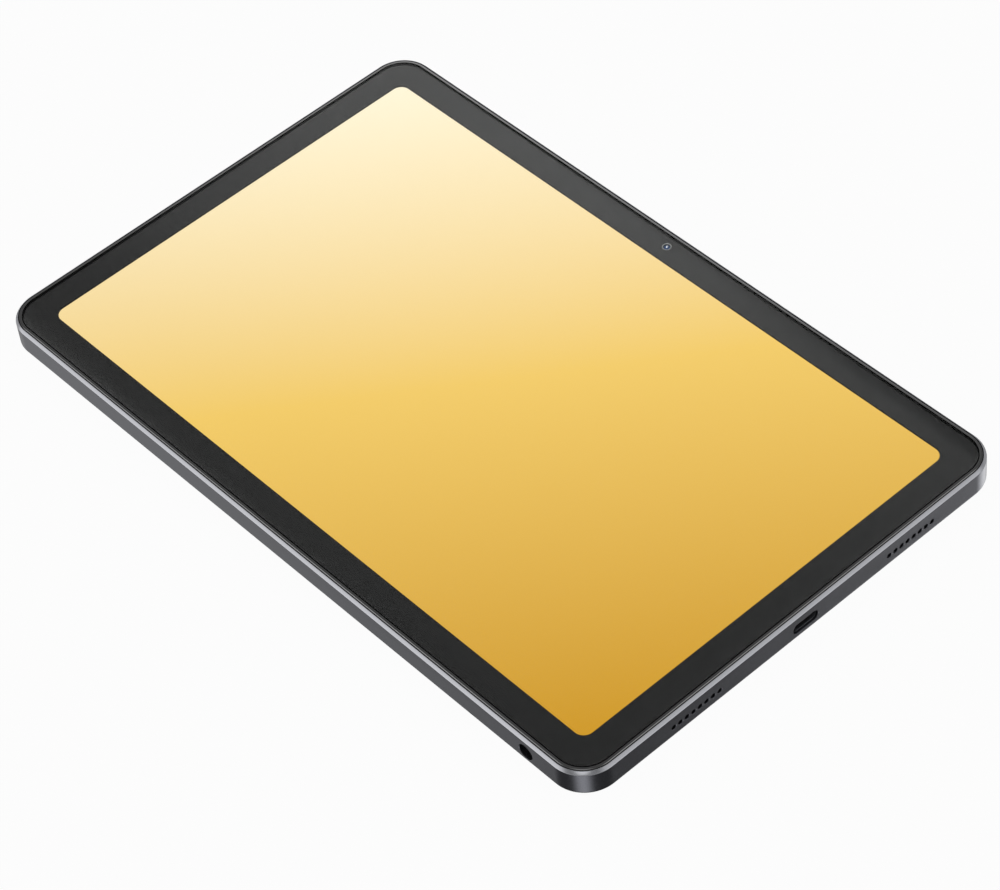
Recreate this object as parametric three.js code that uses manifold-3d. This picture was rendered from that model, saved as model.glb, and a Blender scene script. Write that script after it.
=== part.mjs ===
// A tablet computer of the 10.4 inch class, lying on its back with the screen up.
//
// Millimetres. X runs along the long side, Y along the short side towards the front camera, Z up out of
// the screen. The origin is the middle of the rear face.
//
// How it comes apart, from the top: cover glass and display in a plastic bezel ring, a mid plate held by
// screws, and under it the battery, the boards and the speakers in an aluminium tray, the rear housing.

import * as THREE from "three";
import { mergeVertices } from "three/addons/utils/BufferGeometryUtils.js";
import Module from "manifold-3d";

const wasm = await Module();
wasm.setup();

// ---------------------------------------------------------------- driving dimensions

// Whole body
const LENGTH = 248.3;
const WIDTH = 157.7;
const THICKNESS = 8.6;
const CORNER_RADIUS = 10.7;

// Rear housing
const FLOOR = 0.9;
const WALL = 1.6;
const RIM_INSET = 0.83; // from the outer wall to the inside of the thin rim round the bezel ring
const RIM_LAND = 0.05; // flat left on top of the rim
const RIM_CHAMFER_DROP = 0.95;
const RIM_BELOW_GLASS = 0.2;
const REAR_EDGE_RADIUS = 0.6;
const LEDGE_BELOW_TOP = 2.4; // the step that the bezel ring stands on

// Bezel ring and glass
const RING_GAP = 0.1; // rim to ring
const RING_WIDTH = 1.15; // seen from above
const GLASS_GAP = 0.12; // ring to glass
const RING_FLANGE = 2.5; // how far the flange under the glass reaches in past the ring
const RING_CROWN = 0.33; // how far the ring's outer shoulder falls
const RING_BELOW_GLASS = 0.05;
const GLASS_THICKNESS = 0.7;
const GLASS_EDGE = 0.1;
const GLASS_GLUE = 0.2; // space for the adhesive between flange and glass

// Display
const SCREEN_MARGIN_X = 11.35; // from the body's end to the lit area
const SCREEN_MARGIN_Y = 11.15; // from the body's long side to the lit area
const PANEL_THICKNESS = 1.1;
const PANEL_BORDER = 2.3;
const PANEL_CAMERA_BORDER = 1.8; // narrower along the front camera
const PANEL_DRIVER_BORDER = 4.4; // wider where the driver strip is bonded
const BACKLIGHT_THICKNESS = 1.0;
const BACKLIGHT_MARGIN = 0.3; // how far the backlight's tray stands out past the panel
const DISPLAY_GAP = 0.12;
const BACKLIGHT_GAP = 0.5; // over the mid plate, for the driver board and the screw heads
const DRIVER_BOARD_THICKNESS = 0.35;
const DRIVER_BOARD_WIDTH = 7.8;
const DRIVER_BOARD_LENGTH = 80;
const DISPLAY_FLEX_RUN = 30; // from the spine to the driver board
const TOUCH_FLEX_WIDTH = 10;
const TOUCH_FLEX_MIDDLE = -9;

// Mid plate and fastening
const PLATE_THICKNESS = 0.4;
const PLATE_EDGE = 6; // from the inner wall
const SCREW_RADIUS = 0.75;
const SCREW_HEAD_RADIUS = 1.5;
const SCREW_HEAD_HEIGHT = 0.38;
const SCREW_DRIVE_RADIUS = 0.6;
const PLATE_SCREW_LENGTH = 3;
const BOARD_SCREW_LENGTH = 1.7;
const BOSS_RADIUS = 2.2;
const SCREW_CLEARANCE = 0.12;

// Boards
const BOARD_THICKNESS = 0.8;
const BOARD_HEIGHT = 2.0; // underside above the rear face
const MAIN_BOARD_LENGTH = 40;
const SHIELD_LENGTH = 26;
const SHIELD_SPACING = 3;
const SHIELD_WALL = 0.2;
const SHIELDS_FROM_LOW_WALL = 14;
const SHIELDS_FROM_HIGH_WALL = 41.25;
const GRAPHITE_THICKNESS = 0.1;
const CONNECTOR_WIDTH = 4;
const LINK_WIDTH = 9; // ribbon that joins the two boards
const LINK_MIDDLE = 13;
const LEAD_WIDTH = 6; // ribbon from the battery
const LEAD_MIDDLE = -13;
const GUARD_WIDTH = 5.5; // the battery's protection board, under tape
const GUARD_LENGTH = 29;
const GUARD_HEIGHT = 2.4;
const GUARD_MIDDLE = -7.5;
const FLEX_THICKNESS = 0.12;

// Ports, all on one line round the wall
const PORT_HEIGHT = 3.4;
const PORT_OFFSET = 2.0; // the ports on the short side sit this far towards the front camera
const USB_LENGTH = 8.94;
const USB_HEIGHT = 3.16;
const USB_SHELL = 0.3;
const USB_DEPTH = 8.4;
const USB_RECESS = 0.6;
const USB_TONGUE_THICKNESS = 0.7;
const USB_TONGUE_RECESS = 0.6; // behind the shell's mouth
const USB_TONGUE_SIDE_GAP = 0.83; // between the tongue and the shell's inside
const USB_BACK = 1.4; // the moulded block that closes the shell
const JACK_FROM_END = 21.85;
const JACK_BORE_RADIUS = 1.8;
const JACK_LENGTH = 13;
const JACK_WIDTH = 6.8;
const JACK_BODY_HEIGHT = 4.3;
const PORT_CHAMFER = 0.25;

// Speakers
const GRILLE_FROM_CORNER = 38.55; // middle of a grille from the end of the short side, ports centred
const GRILLE_HOLES = 8;
const GRILLE_PITCH = 2.38;
const GRILLE_HOLE_RADIUS = 0.78;
const GRILLE_CHAMFER = 0.15;
const SPEAKER_LENGTH = 26;
const SPEAKER_PAST_GRILLE = 3.27; // towards the corner; the rest of its length lies inwards
const SPEAKER_DEPTH = 13.9;
const SOUND_CHANNEL_DEPTH = 3;
const SOUND_CHANNEL_HALF_HEIGHT = 1.2;
const SOUND_CHANNEL_MARGIN = 1.4; // past the outermost hole's middle
const MESH_THICKNESS = 0.3;
const MICROPHONE_LENGTH = 4.4;
const MICROPHONE_DEPTH = 3.4;
const MICROPHONE_PORT_RADIUS = 0.45;

// Keys
const KEY_PROUD = 0.45;
const KEY_HEIGHT = 2.2;
const KEY_LEVEL = 3.8;
const KEY_CLEARANCE = 0.14;
const POWER_KEY_LENGTH = 10;
const POWER_KEY_FROM_SPEAKER = 1.8;
const POWER_KEY_TRAVEL = 0.3;
const VOLUME_KEY_LENGTH = 19;
const VOLUME_KEY_FROM_END = 21.9;
const VOLUME_DOME_SPACING = 13;
const VOLUME_FLANGE_LENGTH = 10;
const DOME_HEIGHT = 0.55;
const SWITCH_BOARD_THICKNESS = 0.4;
const KEY_FLANGE_THICKNESS = 0.5;
const KEY_FLANGE_MARGIN = 0.4; // past the power key's ends
const KEY_FLANGE_RISE = 0.35; // past the key's upper and lower faces
const DOME_GAP = 0.06; // left between key and dome when the key is pressed in

// Card tray
const DOOR_MIDDLE_FROM_END = 46.9;
const DOOR_HEIGHT = 2.6;
const DOOR_PAST_TRAY = 1.5;
const DOOR_PAST_PIN_HOLE = 2.6;
const TRAY_LEVEL = 3.7;
const TRAY_WIDTH = 15;
const TRAY_THICKNESS = 1.0;
const TRAY_LENGTH = 21.3;
const CARD_WIDTH = 11.2;
const CARD_LENGTH = 15.2;
const CARD_DEPTH = 0.75;
const PIN_HOLE_RADIUS = 0.55;
const ROD_WIDTH = 1.2;
const ROD_SPACING = 3.4; // from the tray's edge to the middle of the rod
const LEVER_PIVOT_RADIUS = 0.6;
const LEVER_HUB_RADIUS = 1.15;
const LEVER_LONG_ARM = 6;
const LEVER_SHORT_ARM = 4.2;
const LEVER_FROM_ROD = 3; // from the middle of the rod to the pivot
const LEVER_BEHIND_TRAY = 3.5;
const LEVER_THICKNESS = 0.7;
const READER_WALL = 0.25;
const READER_GAP = 0.15;

// Cameras
const FRONT_CAMERA_X = -1.3;
const FRONT_CAMERA_FROM_EDGE = 5.75;
const FRONT_CAMERA_SIZE = 5;
const FRONT_LENS_RADIUS = 1.7;
const REAR_CAMERA_FROM_END = 22.15;
const REAR_CAMERA_FROM_EDGE = 16.85;
const REAR_CAMERA_SIZE = 9;
const REAR_RING_RADIUS = 4;
const REAR_WINDOW_RADIUS = 3.2;
const REAR_WINDOW_SINK = 0.25;
const REAR_WINDOW_THICKNESS = 0.55;
const REAR_BARREL_RADIUS = 2.8;
const REAR_BARREL_LENGTH = 2;
const FLASH_RADIUS = 1.7;
const FLASH_SPACING = 10.5;

// Antenna cover
const ANTENNA_FROM_DOOR = 16;
const ANTENNA_FROM_END = 54.15;
const MICROPHONE_BESIDE_DOOR = 10; // from the tray door's end
const MICROPHONE_PAST_ANTENNA = 8;
const ANTENNA_BAND = 12.85;
const ANTENNA_THICKNESS = 1.2;
const ANTENNA_HEIGHT = 5.6;

// Fits
const CLEARANCE = 0.1; // between pieces that are fixed side by side
const INSIDE_GAP = 0.5; // between a module and the wall it stands by
const CORNER_STEPS = 14;

// ---------------------------------------------------------------- derived levels and places

const HALF_LENGTH = LENGTH / 2;
const HALF_WIDTH = WIDTH / 2;
const INNER_X = HALF_LENGTH - WALL;
const INNER_Y = HALF_WIDTH - WALL;
const INNER_RADIUS = CORNER_RADIUS - WALL;

const GLASS_BOTTOM = THICKNESS - GLASS_THICKNESS;
const RIM_TOP = THICKNESS - RIM_BELOW_GLASS;
const LEDGE = THICKNESS - LEDGE_BELOW_TOP;
const RING_OUTER = RIM_INSET + RING_GAP;
const RING_INNER = RING_OUTER + RING_WIDTH;
const GLASS_INSET = RING_INNER + GLASS_GAP;
const RING_TOP = THICKNESS - RING_BELOW_GLASS;
const FLANGE_INSET = RING_INNER + RING_FLANGE;
const FLANGE_TOP = GLASS_BOTTOM - GLASS_GLUE;
const PANEL_TOP = GLASS_BOTTOM - DISPLAY_GAP;
const PANEL_BOTTOM = PANEL_TOP - PANEL_THICKNESS;
const BACKLIGHT_TOP = PANEL_BOTTOM - DISPLAY_GAP;
const BACKLIGHT_BOTTOM = BACKLIGHT_TOP - BACKLIGHT_THICKNESS;
const PLATE_TOP = BACKLIGHT_BOTTOM - BACKLIGHT_GAP;
const PLATE_BOTTOM = PLATE_TOP - PLATE_THICKNESS;
const INSIDE_TOP = PLATE_BOTTOM - CLEARANCE;
const FLEX_LEVEL = INSIDE_TOP - FLEX_THICKNESS; // ribbons that pass over the battery
const PART_TOP = FLEX_LEVEL - CLEARANCE / 2; // tallest module under those ribbons
const PART_BOTTOM = FLOOR + CLEARANCE;
const BOARD_TOP = BOARD_HEIGHT + BOARD_THICKNESS;

const PANEL_HALF_LENGTH = HALF_LENGTH - SCREEN_MARGIN_X + PANEL_BORDER;
const PANEL_HIGH = HALF_WIDTH - SCREEN_MARGIN_Y + PANEL_CAMERA_BORDER;
const PANEL_LOW = SCREEN_MARGIN_Y - HALF_WIDTH - PANEL_DRIVER_BORDER;

const JACK_X = HALF_LENGTH - JACK_FROM_END;
const GRILLE_CENTRES = [
  GRILLE_FROM_CORNER - HALF_WIDTH + PORT_OFFSET,
  HALF_WIDTH - GRILLE_FROM_CORNER + PORT_OFFSET,
];
const GRILLE_HALF = ((GRILLE_HOLES - 1) / 2) * GRILLE_PITCH + SOUND_CHANNEL_MARGIN;
const SPEAKER_LOW = GRILLE_CENTRES[0] - GRILLE_HALF - SPEAKER_PAST_GRILLE;
const SPEAKER_HIGH = GRILLE_CENTRES[1] + GRILLE_HALF + SPEAKER_PAST_GRILLE;
const SPEAKER_SPANS = [
  [SPEAKER_LOW, SPEAKER_LOW + SPEAKER_LENGTH],
  [SPEAKER_HIGH - SPEAKER_LENGTH, SPEAKER_HIGH],
];
const SPEAKER_OUTER = INNER_X - INSIDE_GAP;
const SPEAKER_INNER = SPEAKER_OUTER - SPEAKER_DEPTH;

const MAIN_BOARD_LEFT = CLEARANCE + 4 - SPEAKER_INNER;
const MAIN_BOARD_RIGHT = MAIN_BOARD_LEFT + MAIN_BOARD_LENGTH;
const MAIN_BOARD_HALF_WIDTH = INNER_Y - 5.5;
const SPINE_X = MAIN_BOARD_RIGHT + BOSS_RADIUS + 1.8;
const COLUMN_X = SPEAKER_INNER - BOSS_RADIUS - 3.4;
const SHIELD_LEFT = MAIN_BOARD_LEFT + 6;
const SHIELD_RIGHT = SHIELD_LEFT + SHIELD_LENGTH;
const CONNECTOR_X = MAIN_BOARD_RIGHT - 4;

const POWER_FLANGE_HALF = POWER_KEY_LENGTH / 2 + KEY_FLANGE_MARGIN;
const POWER_KEY_Y = SPEAKER_HIGH + POWER_KEY_FROM_SPEAKER + POWER_FLANGE_HALF;
const VOLUME_KEY_X = VOLUME_KEY_FROM_END - HALF_LENGTH;

const DOOR_LENGTH = DOOR_PAST_TRAY + TRAY_WIDTH + ROD_SPACING + DOOR_PAST_PIN_HOLE;
const DOOR_X = DOOR_MIDDLE_FROM_END - HALF_LENGTH;
const DOOR_RIGHT = DOOR_X + DOOR_LENGTH / 2;
const TRAY_RIGHT = DOOR_RIGHT - DOOR_PAST_TRAY;
const TRAY_LEFT = TRAY_RIGHT - TRAY_WIDTH;
const TRAY_REAR = INNER_Y - TRAY_LENGTH;
const ROD_X = TRAY_LEFT - ROD_SPACING;

const REAR_CAMERA_X = REAR_CAMERA_FROM_END - HALF_LENGTH;
const REAR_CAMERA_Y = HALF_WIDTH - REAR_CAMERA_FROM_EDGE;
const FRONT_CAMERA_Y = HALF_WIDTH - FRONT_CAMERA_FROM_EDGE;
const FLASH_X = REAR_CAMERA_X + FLASH_SPACING;

const ANTENNA_LEFT = DOOR_RIGHT + ANTENNA_FROM_DOOR;
const ANTENNA_RIGHT = HALF_LENGTH - ANTENNA_FROM_END;
const MICROPHONES_X = [DOOR_RIGHT + MICROPHONE_BESIDE_DOOR, ANTENNA_RIGHT + MICROPHONE_PAST_ANTENNA];

const span = (middle, width) => [middle - width / 2, middle + width / 2];
const LINK_Y = span(LINK_MIDDLE, LINK_WIDTH);
const LINK_SOCKET_Y = span(LINK_MIDDLE, LINK_WIDTH + 1);
const LEAD_Y = span(LEAD_MIDDLE, LEAD_WIDTH);
const TOUCH_FLEX_Y = span(TOUCH_FLEX_MIDDLE, TOUCH_FLEX_WIDTH);
const SHIELDS_LOW = SHIELDS_FROM_LOW_WALL - INNER_Y;
const SHIELDS_HIGH = INNER_Y - SHIELDS_FROM_HIGH_WALL;
const PLATE_SCREWS = [SPINE_X, COLUMN_X].flatMap((x) =>
  [20.25 - INNER_Y, -1, INNER_Y - 19.25].map((y) => [x, y]),
);
const BOARD_SCREWS = [
  [MAIN_BOARD_LEFT + 3, 7 - INNER_Y],
  [MAIN_BOARD_RIGHT - 3, 25 - INNER_Y],
  [MAIN_BOARD_RIGHT - 3, SHIELDS_HIGH],
];

const USB_BOARD_LEFT = COLUMN_X + BOSS_RADIUS + 0.8;
const USB_BOARD_LOW = SPEAKER_SPANS[0][1] + 1.5;
const USB_BOARD_HIGH = SPEAKER_SPANS[1][0] - 1.5;
const USB_INNER = HALF_LENGTH - USB_RECESS - USB_DEPTH;
const USB_BOARD_SCREWS = [[USB_BOARD_LEFT + 5.5, USB_BOARD_LOW + 5]];
const BOARD_HOLE_RADIUS = SCREW_RADIUS + 0.2;

// ---------------------------------------------------------------- solids

// A closed three.js geometry as a manifold-3d solid.
function toSolid(geometry) {
  const bare = geometry.clone();
  bare.deleteAttribute("normal");
  bare.deleteAttribute("uv");
  const merged = mergeVertices(bare, 1e-4);
  return new wasm.Manifold(
    new wasm.Mesh({
      numProp: 3,
      vertProperties: new Float32Array(merged.attributes.position.array),
      triVerts: new Uint32Array(merged.index.array),
    }),
  );
}

// A solid as a named mesh.
function toMesh(name, solid, material) {
  const { numProp, vertProperties, triVerts } = solid.getMesh();
  const positions = new Float32Array((vertProperties.length / numProp) * 3);
  for (let i = 0; i * numProp < vertProperties.length; i++)
    positions.set(vertProperties.subarray(i * numProp, i * numProp + 3), i * 3);
  const geometry = new THREE.BufferGeometry();
  geometry.setAttribute("position", new THREE.BufferAttribute(positions, 3));
  geometry.setIndex(new THREE.BufferAttribute(new Uint32Array(triVerts), 1));
  geometry.computeVertexNormals();
  const mesh = new THREE.Mesh(geometry, material);
  mesh.name = name;
  return mesh;
}

const join = (first, ...others) => others.reduce((all, next) => all.add(next), first);
const cut = (first, ...others) => others.reduce((all, next) => all.subtract(next), first);

// A box between two corners.
function block(x0, x1, y0, y1, z0, z1) {
  const box = new THREE.BoxGeometry(x1 - x0, y1 - y0, z1 - z0);
  return toSolid(box.translate((x0 + x1) / 2, (y0 + y1) / 2, (z0 + z1) / 2));
}

// An upright cylinder, or a cone where the two radii differ.
function post(x, y, z0, z1, radius, topRadius = radius, steps = 20) {
  const cylinder = new THREE.CylinderGeometry(topRadius, radius, z1 - z0, steps);
  return toSolid(cylinder.rotateX(Math.PI / 2).translate(x, y, (z0 + z1) / 2));
}

// A rounded rectangle lofted through rings of [inset, height], from the bottom up. A ring's corner radius
// is the outline's radius less the inset, so every ring runs parallel to the outline.
function roundedLoft(halfX, halfY, radius, rings, steps = CORNER_STEPS) {
  const positions = [];
  const perRing = 4 * (steps + 1);
  for (const [inset, z] of rings)
    for (let i = 0; i < perRing; i++) {
      const corner = Math.floor(i / (steps + 1));
      const turn = ((corner + (i % (steps + 1)) / steps) * Math.PI) / 2;
      const sideX = corner === 0 || corner === 3 ? 1 : -1;
      const sideY = corner < 2 ? 1 : -1;
      const r = Math.max(radius - inset, 0.01);
      positions.push(sideX * (halfX - inset - r) + r * Math.cos(turn));
      positions.push(sideY * (halfY - inset - r) + r * Math.sin(turn));
      positions.push(z);
    }
  const index = [];
  for (let ring = 0; ring + 1 < rings.length; ring++)
    for (let i = 0; i < perRing; i++) {
      const a = ring * perRing + i;
      const b = ring * perRing + ((i + 1) % perRing);
      index.push(a, b, b + perRing, a, b + perRing, a + perRing);
    }
  const bottom = rings.length * perRing;
  positions.push(0, 0, rings[0][1], 0, 0, rings.at(-1)[1]);
  for (let i = 0; i < perRing; i++) {
    const next = (i + 1) % perRing;
    const top = (rings.length - 1) * perRing;
    index.push(bottom, next, i, bottom + 1, top + i, top + next);
  }
  const geometry = new THREE.BufferGeometry();
  geometry.setAttribute("position", new THREE.Float32BufferAttribute(positions, 3));
  geometry.setIndex(index);
  return geometry;
}

// A plate that follows the body's outline at an inset from it.
const bodyPlate = (inset, z0, z1) =>
  toSolid(roundedLoft(HALF_LENGTH, HALF_WIDTH, CORNER_RADIUS, [[inset, z0], [inset, z1]]));

// The frame of a place on the outer wall: x along the wall, y up, z outwards, zero at the outer face.
function wallFrame(side, along, height) {
  const out = { "+X": [1, 0], "-X": [-1, 0], "+Y": [0, 1], "-Y": [0, -1] }[side];
  const outward = new THREE.Vector3(out[0], out[1], 0);
  const up = new THREE.Vector3(0, 0, 1);
  const sideways = new THREE.Vector3().crossVectors(up, outward);
  const place = new THREE.Vector3(
    out[0] * HALF_LENGTH + Math.abs(out[1]) * along,
    out[1] * HALF_WIDTH + Math.abs(out[0]) * along,
    height,
  );
  return new THREE.Matrix4().makeBasis(sideways, up, outward).setPosition(place);
}

// A rounded bar standing on the wall's frame, lofted outwards through [inset, depth] rings.
const wallBar = (frame, length, height, rings, steps = 6) =>
  toSolid(roundedLoft(length / 2, height / 2, height / 2, rings, steps).applyMatrix4(frame));

// A round plug for a drilled hole with a chamfered mouth.
function wallDrill(frame, radius, depth, chamfer, steps = 12) {
  const profile = [
    new THREE.Vector2(0, -depth),
    new THREE.Vector2(radius, -depth),
    new THREE.Vector2(radius, -chamfer),
    new THREE.Vector2(radius + chamfer, 0),
    new THREE.Vector2(radius + chamfer, 1),
    new THREE.Vector2(0, 1),
  ];
  const lathe = new THREE.LatheGeometry(profile, steps).rotateX(Math.PI / 2);
  return toSolid(lathe.applyMatrix4(frame));
}

// The opening that a slot with a chamfered mouth leaves in the wall.
const wallSlot = (frame, length, height, depth, chamfer) =>
  wallBar(frame, length, height, [[0, -depth], [0, -chamfer], [-chamfer, 0], [-chamfer, 1]]);

// A box in a wall's frame.
function wallBlock(frame, x0, x1, y0, y1, z0, z1) {
  const box = new THREE.BoxGeometry(x1 - x0, y1 - y0, z1 - z0);
  box.translate((x0 + x1) / 2, (y0 + y1) / 2, (z0 + z1) / 2);
  return toSolid(box.applyMatrix4(frame));
}

// A flat shape drawn in Y and Z, extruded along X.
function prismX(shape, x0, x1, curveSegments = 6) {
  const geometry = new THREE.ExtrudeGeometry(shape, {
    depth: x1 - x0,
    bevelEnabled: false,
    curveSegments,
  });
  const basis = new THREE.Matrix4().makeBasis(
    new THREE.Vector3(0, 1, 0),
    new THREE.Vector3(0, 0, 1),
    new THREE.Vector3(1, 0, 0),
  );
  return toSolid(geometry.applyMatrix4(basis).translate(x0, 0, 0));
}

// ---------------------------------------------------------------- materials

const finish = (color, roughness, metalness) =>
  new THREE.MeshStandardMaterial({ color, roughness, metalness });

const anodised = finish(0x55565b, 0.45, 0.9);
const antennaPlastic = finish(0x4b4c50, 0.55, 0.1);
const blackPlastic = finish(0x1c1c1d, 0.45, 0.0);
const coverGlass = finish(0x2e2e2e, 0.12, 0.0);
const panelFilm = finish(0xe6b94a, 0.3, 0.0);
const steel = finish(0xb4b6ba, 0.35, 1.0);
const copperPlate = finish(0xc9a36a, 0.4, 1.0);
const boardGreen = finish(0x1d4a35, 0.5, 0.1);
const flexOrange = finish(0xa8611c, 0.5, 0.2);
const cellSilver = finish(0x8d9094, 0.5, 0.6);
const cellBlack = finish(0x26272a, 0.7, 0.0);
const graphite = finish(0x3a3b3d, 0.6, 0.5);
const lensGlass = finish(0x16233a, 0.05, 0.0);
const diffuser = finish(0xe9e6d2, 0.3, 0.0);
const whiteFilm = finish(0xdedede, 0.5, 0.0);

// ---------------------------------------------------------------- shell

// The antenna cover's L section, grown by a gap on the faces that meet metal.
function antennaSolid(gap) {
  const shape = new THREE.Shape();
  const inner = HALF_WIDTH - ANTENNA_BAND - gap;
  shape.moveTo(inner, 0);
  shape.lineTo(HALF_WIDTH - REAR_EDGE_RADIUS, 0);
  shape.absarc(HALF_WIDTH - REAR_EDGE_RADIUS, REAR_EDGE_RADIUS, REAR_EDGE_RADIUS, -Math.PI / 2, 0);
  shape.lineTo(HALF_WIDTH, ANTENNA_HEIGHT + gap);
  shape.lineTo(INNER_Y - gap, ANTENNA_HEIGHT + gap);
  shape.lineTo(INNER_Y - gap, ANTENNA_THICKNESS);
  shape.lineTo(inner, ANTENNA_THICKNESS);
  return prismX(shape, ANTENNA_LEFT - gap, ANTENNA_RIGHT + gap);
}

// The room that the antenna cover's L section needs in the housing, run past the outer faces.
function antennaRoom() {
  const inner = HALF_WIDTH - ANTENNA_BAND - CLEARANCE;
  const past = HALF_WIDTH + 1;
  const left = ANTENNA_LEFT - CLEARANCE;
  const right = ANTENNA_RIGHT + CLEARANCE;
  const band = block(left, right, inner, past, -1, ANTENNA_THICKNESS + CLEARANCE);
  const side = block(left, right, INNER_Y - CLEARANCE, past, -1, ANTENNA_HEIGHT + CLEARANCE);
  return join(band, side);
}

// The outer form: a small radius round the rear edge, an upright wall and the machined chamfer.
function housingOutside() {
  const rings = [];
  const arcSteps = 4;
  for (let i = 0; i <= arcSteps; i++) {
    const turn = ((i / arcSteps) * Math.PI) / 2;
    const inset = REAR_EDGE_RADIUS * (1 - Math.sin(turn));
    rings.push([inset, REAR_EDGE_RADIUS * (1 - Math.cos(turn))]);
  }
  rings.push([0, RIM_TOP - RIM_CHAMFER_DROP]);
  rings.push([RIM_INSET - RIM_LAND, RIM_TOP]);
  return toSolid(roundedLoft(HALF_LENGTH, HALF_WIDTH, CORNER_RADIUS, rings, 18));
}

// Everything that is drilled or milled through the wall from outside.
function wallOpenings() {
  const through = WALL + 0.5;
  const openings = [];
  for (const side of ["+X", "-X"])
    for (const centre of GRILLE_CENTRES)
      for (let i = 0; i < GRILLE_HOLES; i++) {
        const along = centre + (i - (GRILLE_HOLES - 1) / 2) * GRILLE_PITCH;
        const frame = wallFrame(side, along, PORT_HEIGHT);
        openings.push(wallDrill(frame, GRILLE_HOLE_RADIUS, through, GRILLE_CHAMFER, 10));
      }
  const usb = wallFrame("+X", PORT_OFFSET, PORT_HEIGHT);
  const usbGap = 2 * CLEARANCE;
  openings.push(wallSlot(usb, USB_LENGTH + usbGap, USB_HEIGHT + usbGap, through, PORT_CHAMFER));
  const jack = wallFrame("-Y", JACK_X, PORT_HEIGHT);
  openings.push(wallDrill(jack, JACK_BORE_RADIUS + PORT_CHAMFER, through, PORT_CHAMFER, 28));
  const power = wallFrame("-X", POWER_KEY_Y, KEY_LEVEL);
  const volume = wallFrame("+Y", VOLUME_KEY_X, KEY_LEVEL);
  const keyHeight = KEY_HEIGHT + 2 * KEY_CLEARANCE;
  const powerLength = POWER_KEY_LENGTH + 2 * KEY_CLEARANCE;
  const volumeLength = VOLUME_KEY_LENGTH + 2 * KEY_CLEARANCE;
  openings.push(wallSlot(power, powerLength, keyHeight, through, 0.1));
  openings.push(wallSlot(volume, volumeLength, keyHeight, through, 0.1));
  const door = wallFrame("+Y", DOOR_X, TRAY_LEVEL);
  const doorGap = 2 * CLEARANCE;
  openings.push(wallSlot(door, DOOR_LENGTH + doorGap, DOOR_HEIGHT + doorGap, through, 0.05));
  for (const x of MICROPHONES_X)
    openings.push(wallDrill(wallFrame("+Y", x, KEY_LEVEL), MICROPHONE_PORT_RADIUS, through, 0.1));
  return openings;
}

function makeRearHousing() {
  const pocket = toSolid(
    roundedLoft(INNER_X, INNER_Y, INNER_RADIUS, [[0, FLOOR], [0, 20]]),
  );
  const recess = bodyPlate(RIM_INSET, LEDGE, 20);
  let housing = cut(housingOutside(), pocket, recess);
  const overlap = 0.2; // how deep a boss is rooted in the floor
  for (const [x, y] of PLATE_SCREWS)
    housing = housing.add(post(x, y, FLOOR - overlap, INSIDE_TOP, BOSS_RADIUS));
  for (const [x, y] of [...BOARD_SCREWS, ...USB_BOARD_SCREWS])
    housing = housing.add(post(x, y, FLOOR - overlap, BOARD_HEIGHT - CLEARANCE / 2, BOSS_RADIUS));
  for (const rib of switchRibs()) housing = housing.add(rib);
  const threadRadius = SCREW_RADIUS + SCREW_CLEARANCE;
  const screwHoles = [...PLATE_SCREWS, ...BOARD_SCREWS, ...USB_BOARD_SCREWS].map(([x, y]) =>
    post(x, y, FLOOR, INSIDE_TOP + 1, threadRadius, threadRadius, 12),
  );
  const ringRadius = REAR_RING_RADIUS + CLEARANCE;
  const cameraHole = post(REAR_CAMERA_X, REAR_CAMERA_Y, -1, 2, ringRadius, ringRadius, 36);
  const flashRadius = FLASH_RADIUS + CLEARANCE;
  const flashHole = post(FLASH_X, REAR_CAMERA_Y, -1, 2, flashRadius, flashRadius, 24);
  housing = cut(housing, ...screwHoles, cameraHole, flashHole, antennaRoom(), ...wallOpenings());
  return toMesh("rear_housing", housing, anodised);
}

function makeAntennaCover() {
  return toMesh("antenna_cover", antennaSolid(0), antennaPlastic);
}

// The ring's crown falls away to the rim, and its flange reaches in under the glass.
function makeBezelRing() {
  const rings = [[RING_OUTER, LEDGE + CLEARANCE]];
  const crownSteps = 5;
  const crownWidth = RING_WIDTH * 0.5;
  for (let i = 0; i <= crownSteps; i++) {
    const turn = ((i / crownSteps) * Math.PI) / 2;
    const inset = RING_OUTER + crownWidth * (1 - Math.cos(turn));
    rings.push([inset, RING_TOP - RING_CROWN * (1 - Math.sin(turn))]);
  }
  const outside = toSolid(roundedLoft(HALF_LENGTH, HALF_WIDTH, CORNER_RADIUS, rings, 18));
  const half = FRONT_CAMERA_SIZE / 2 + CLEARANCE;
  const cameraRoom = block(
    FRONT_CAMERA_X - half,
    FRONT_CAMERA_X + half,
    FRONT_CAMERA_Y - half,
    FRONT_CAMERA_Y + half,
    0,
    THICKNESS,
  );
  const ring = cut(
    outside,
    bodyPlate(RING_INNER, FLANGE_TOP, 20),
    bodyPlate(FLANGE_INSET, 0, 20),
    cameraRoom,
  );
  return toMesh("bezel_ring", ring, blackPlastic);
}

function makeCoverGlass() {
  const rings = [
    [GLASS_INSET, GLASS_BOTTOM],
    [GLASS_INSET, THICKNESS - GLASS_EDGE],
    [GLASS_INSET + GLASS_EDGE, THICKNESS],
  ];
  const glass = toSolid(roundedLoft(HALF_LENGTH, HALF_WIDTH, CORNER_RADIUS, rings, 18));
  return toMesh("cover_glass", glass, coverGlass);
}

// ---------------------------------------------------------------- display

const panelBlock = (grow, z0, z1) =>
  block(
    -PANEL_HALF_LENGTH - grow,
    PANEL_HALF_LENGTH + grow,
    PANEL_LOW - grow,
    PANEL_HIGH + grow,
    z0,
    z1,
  );

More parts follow.
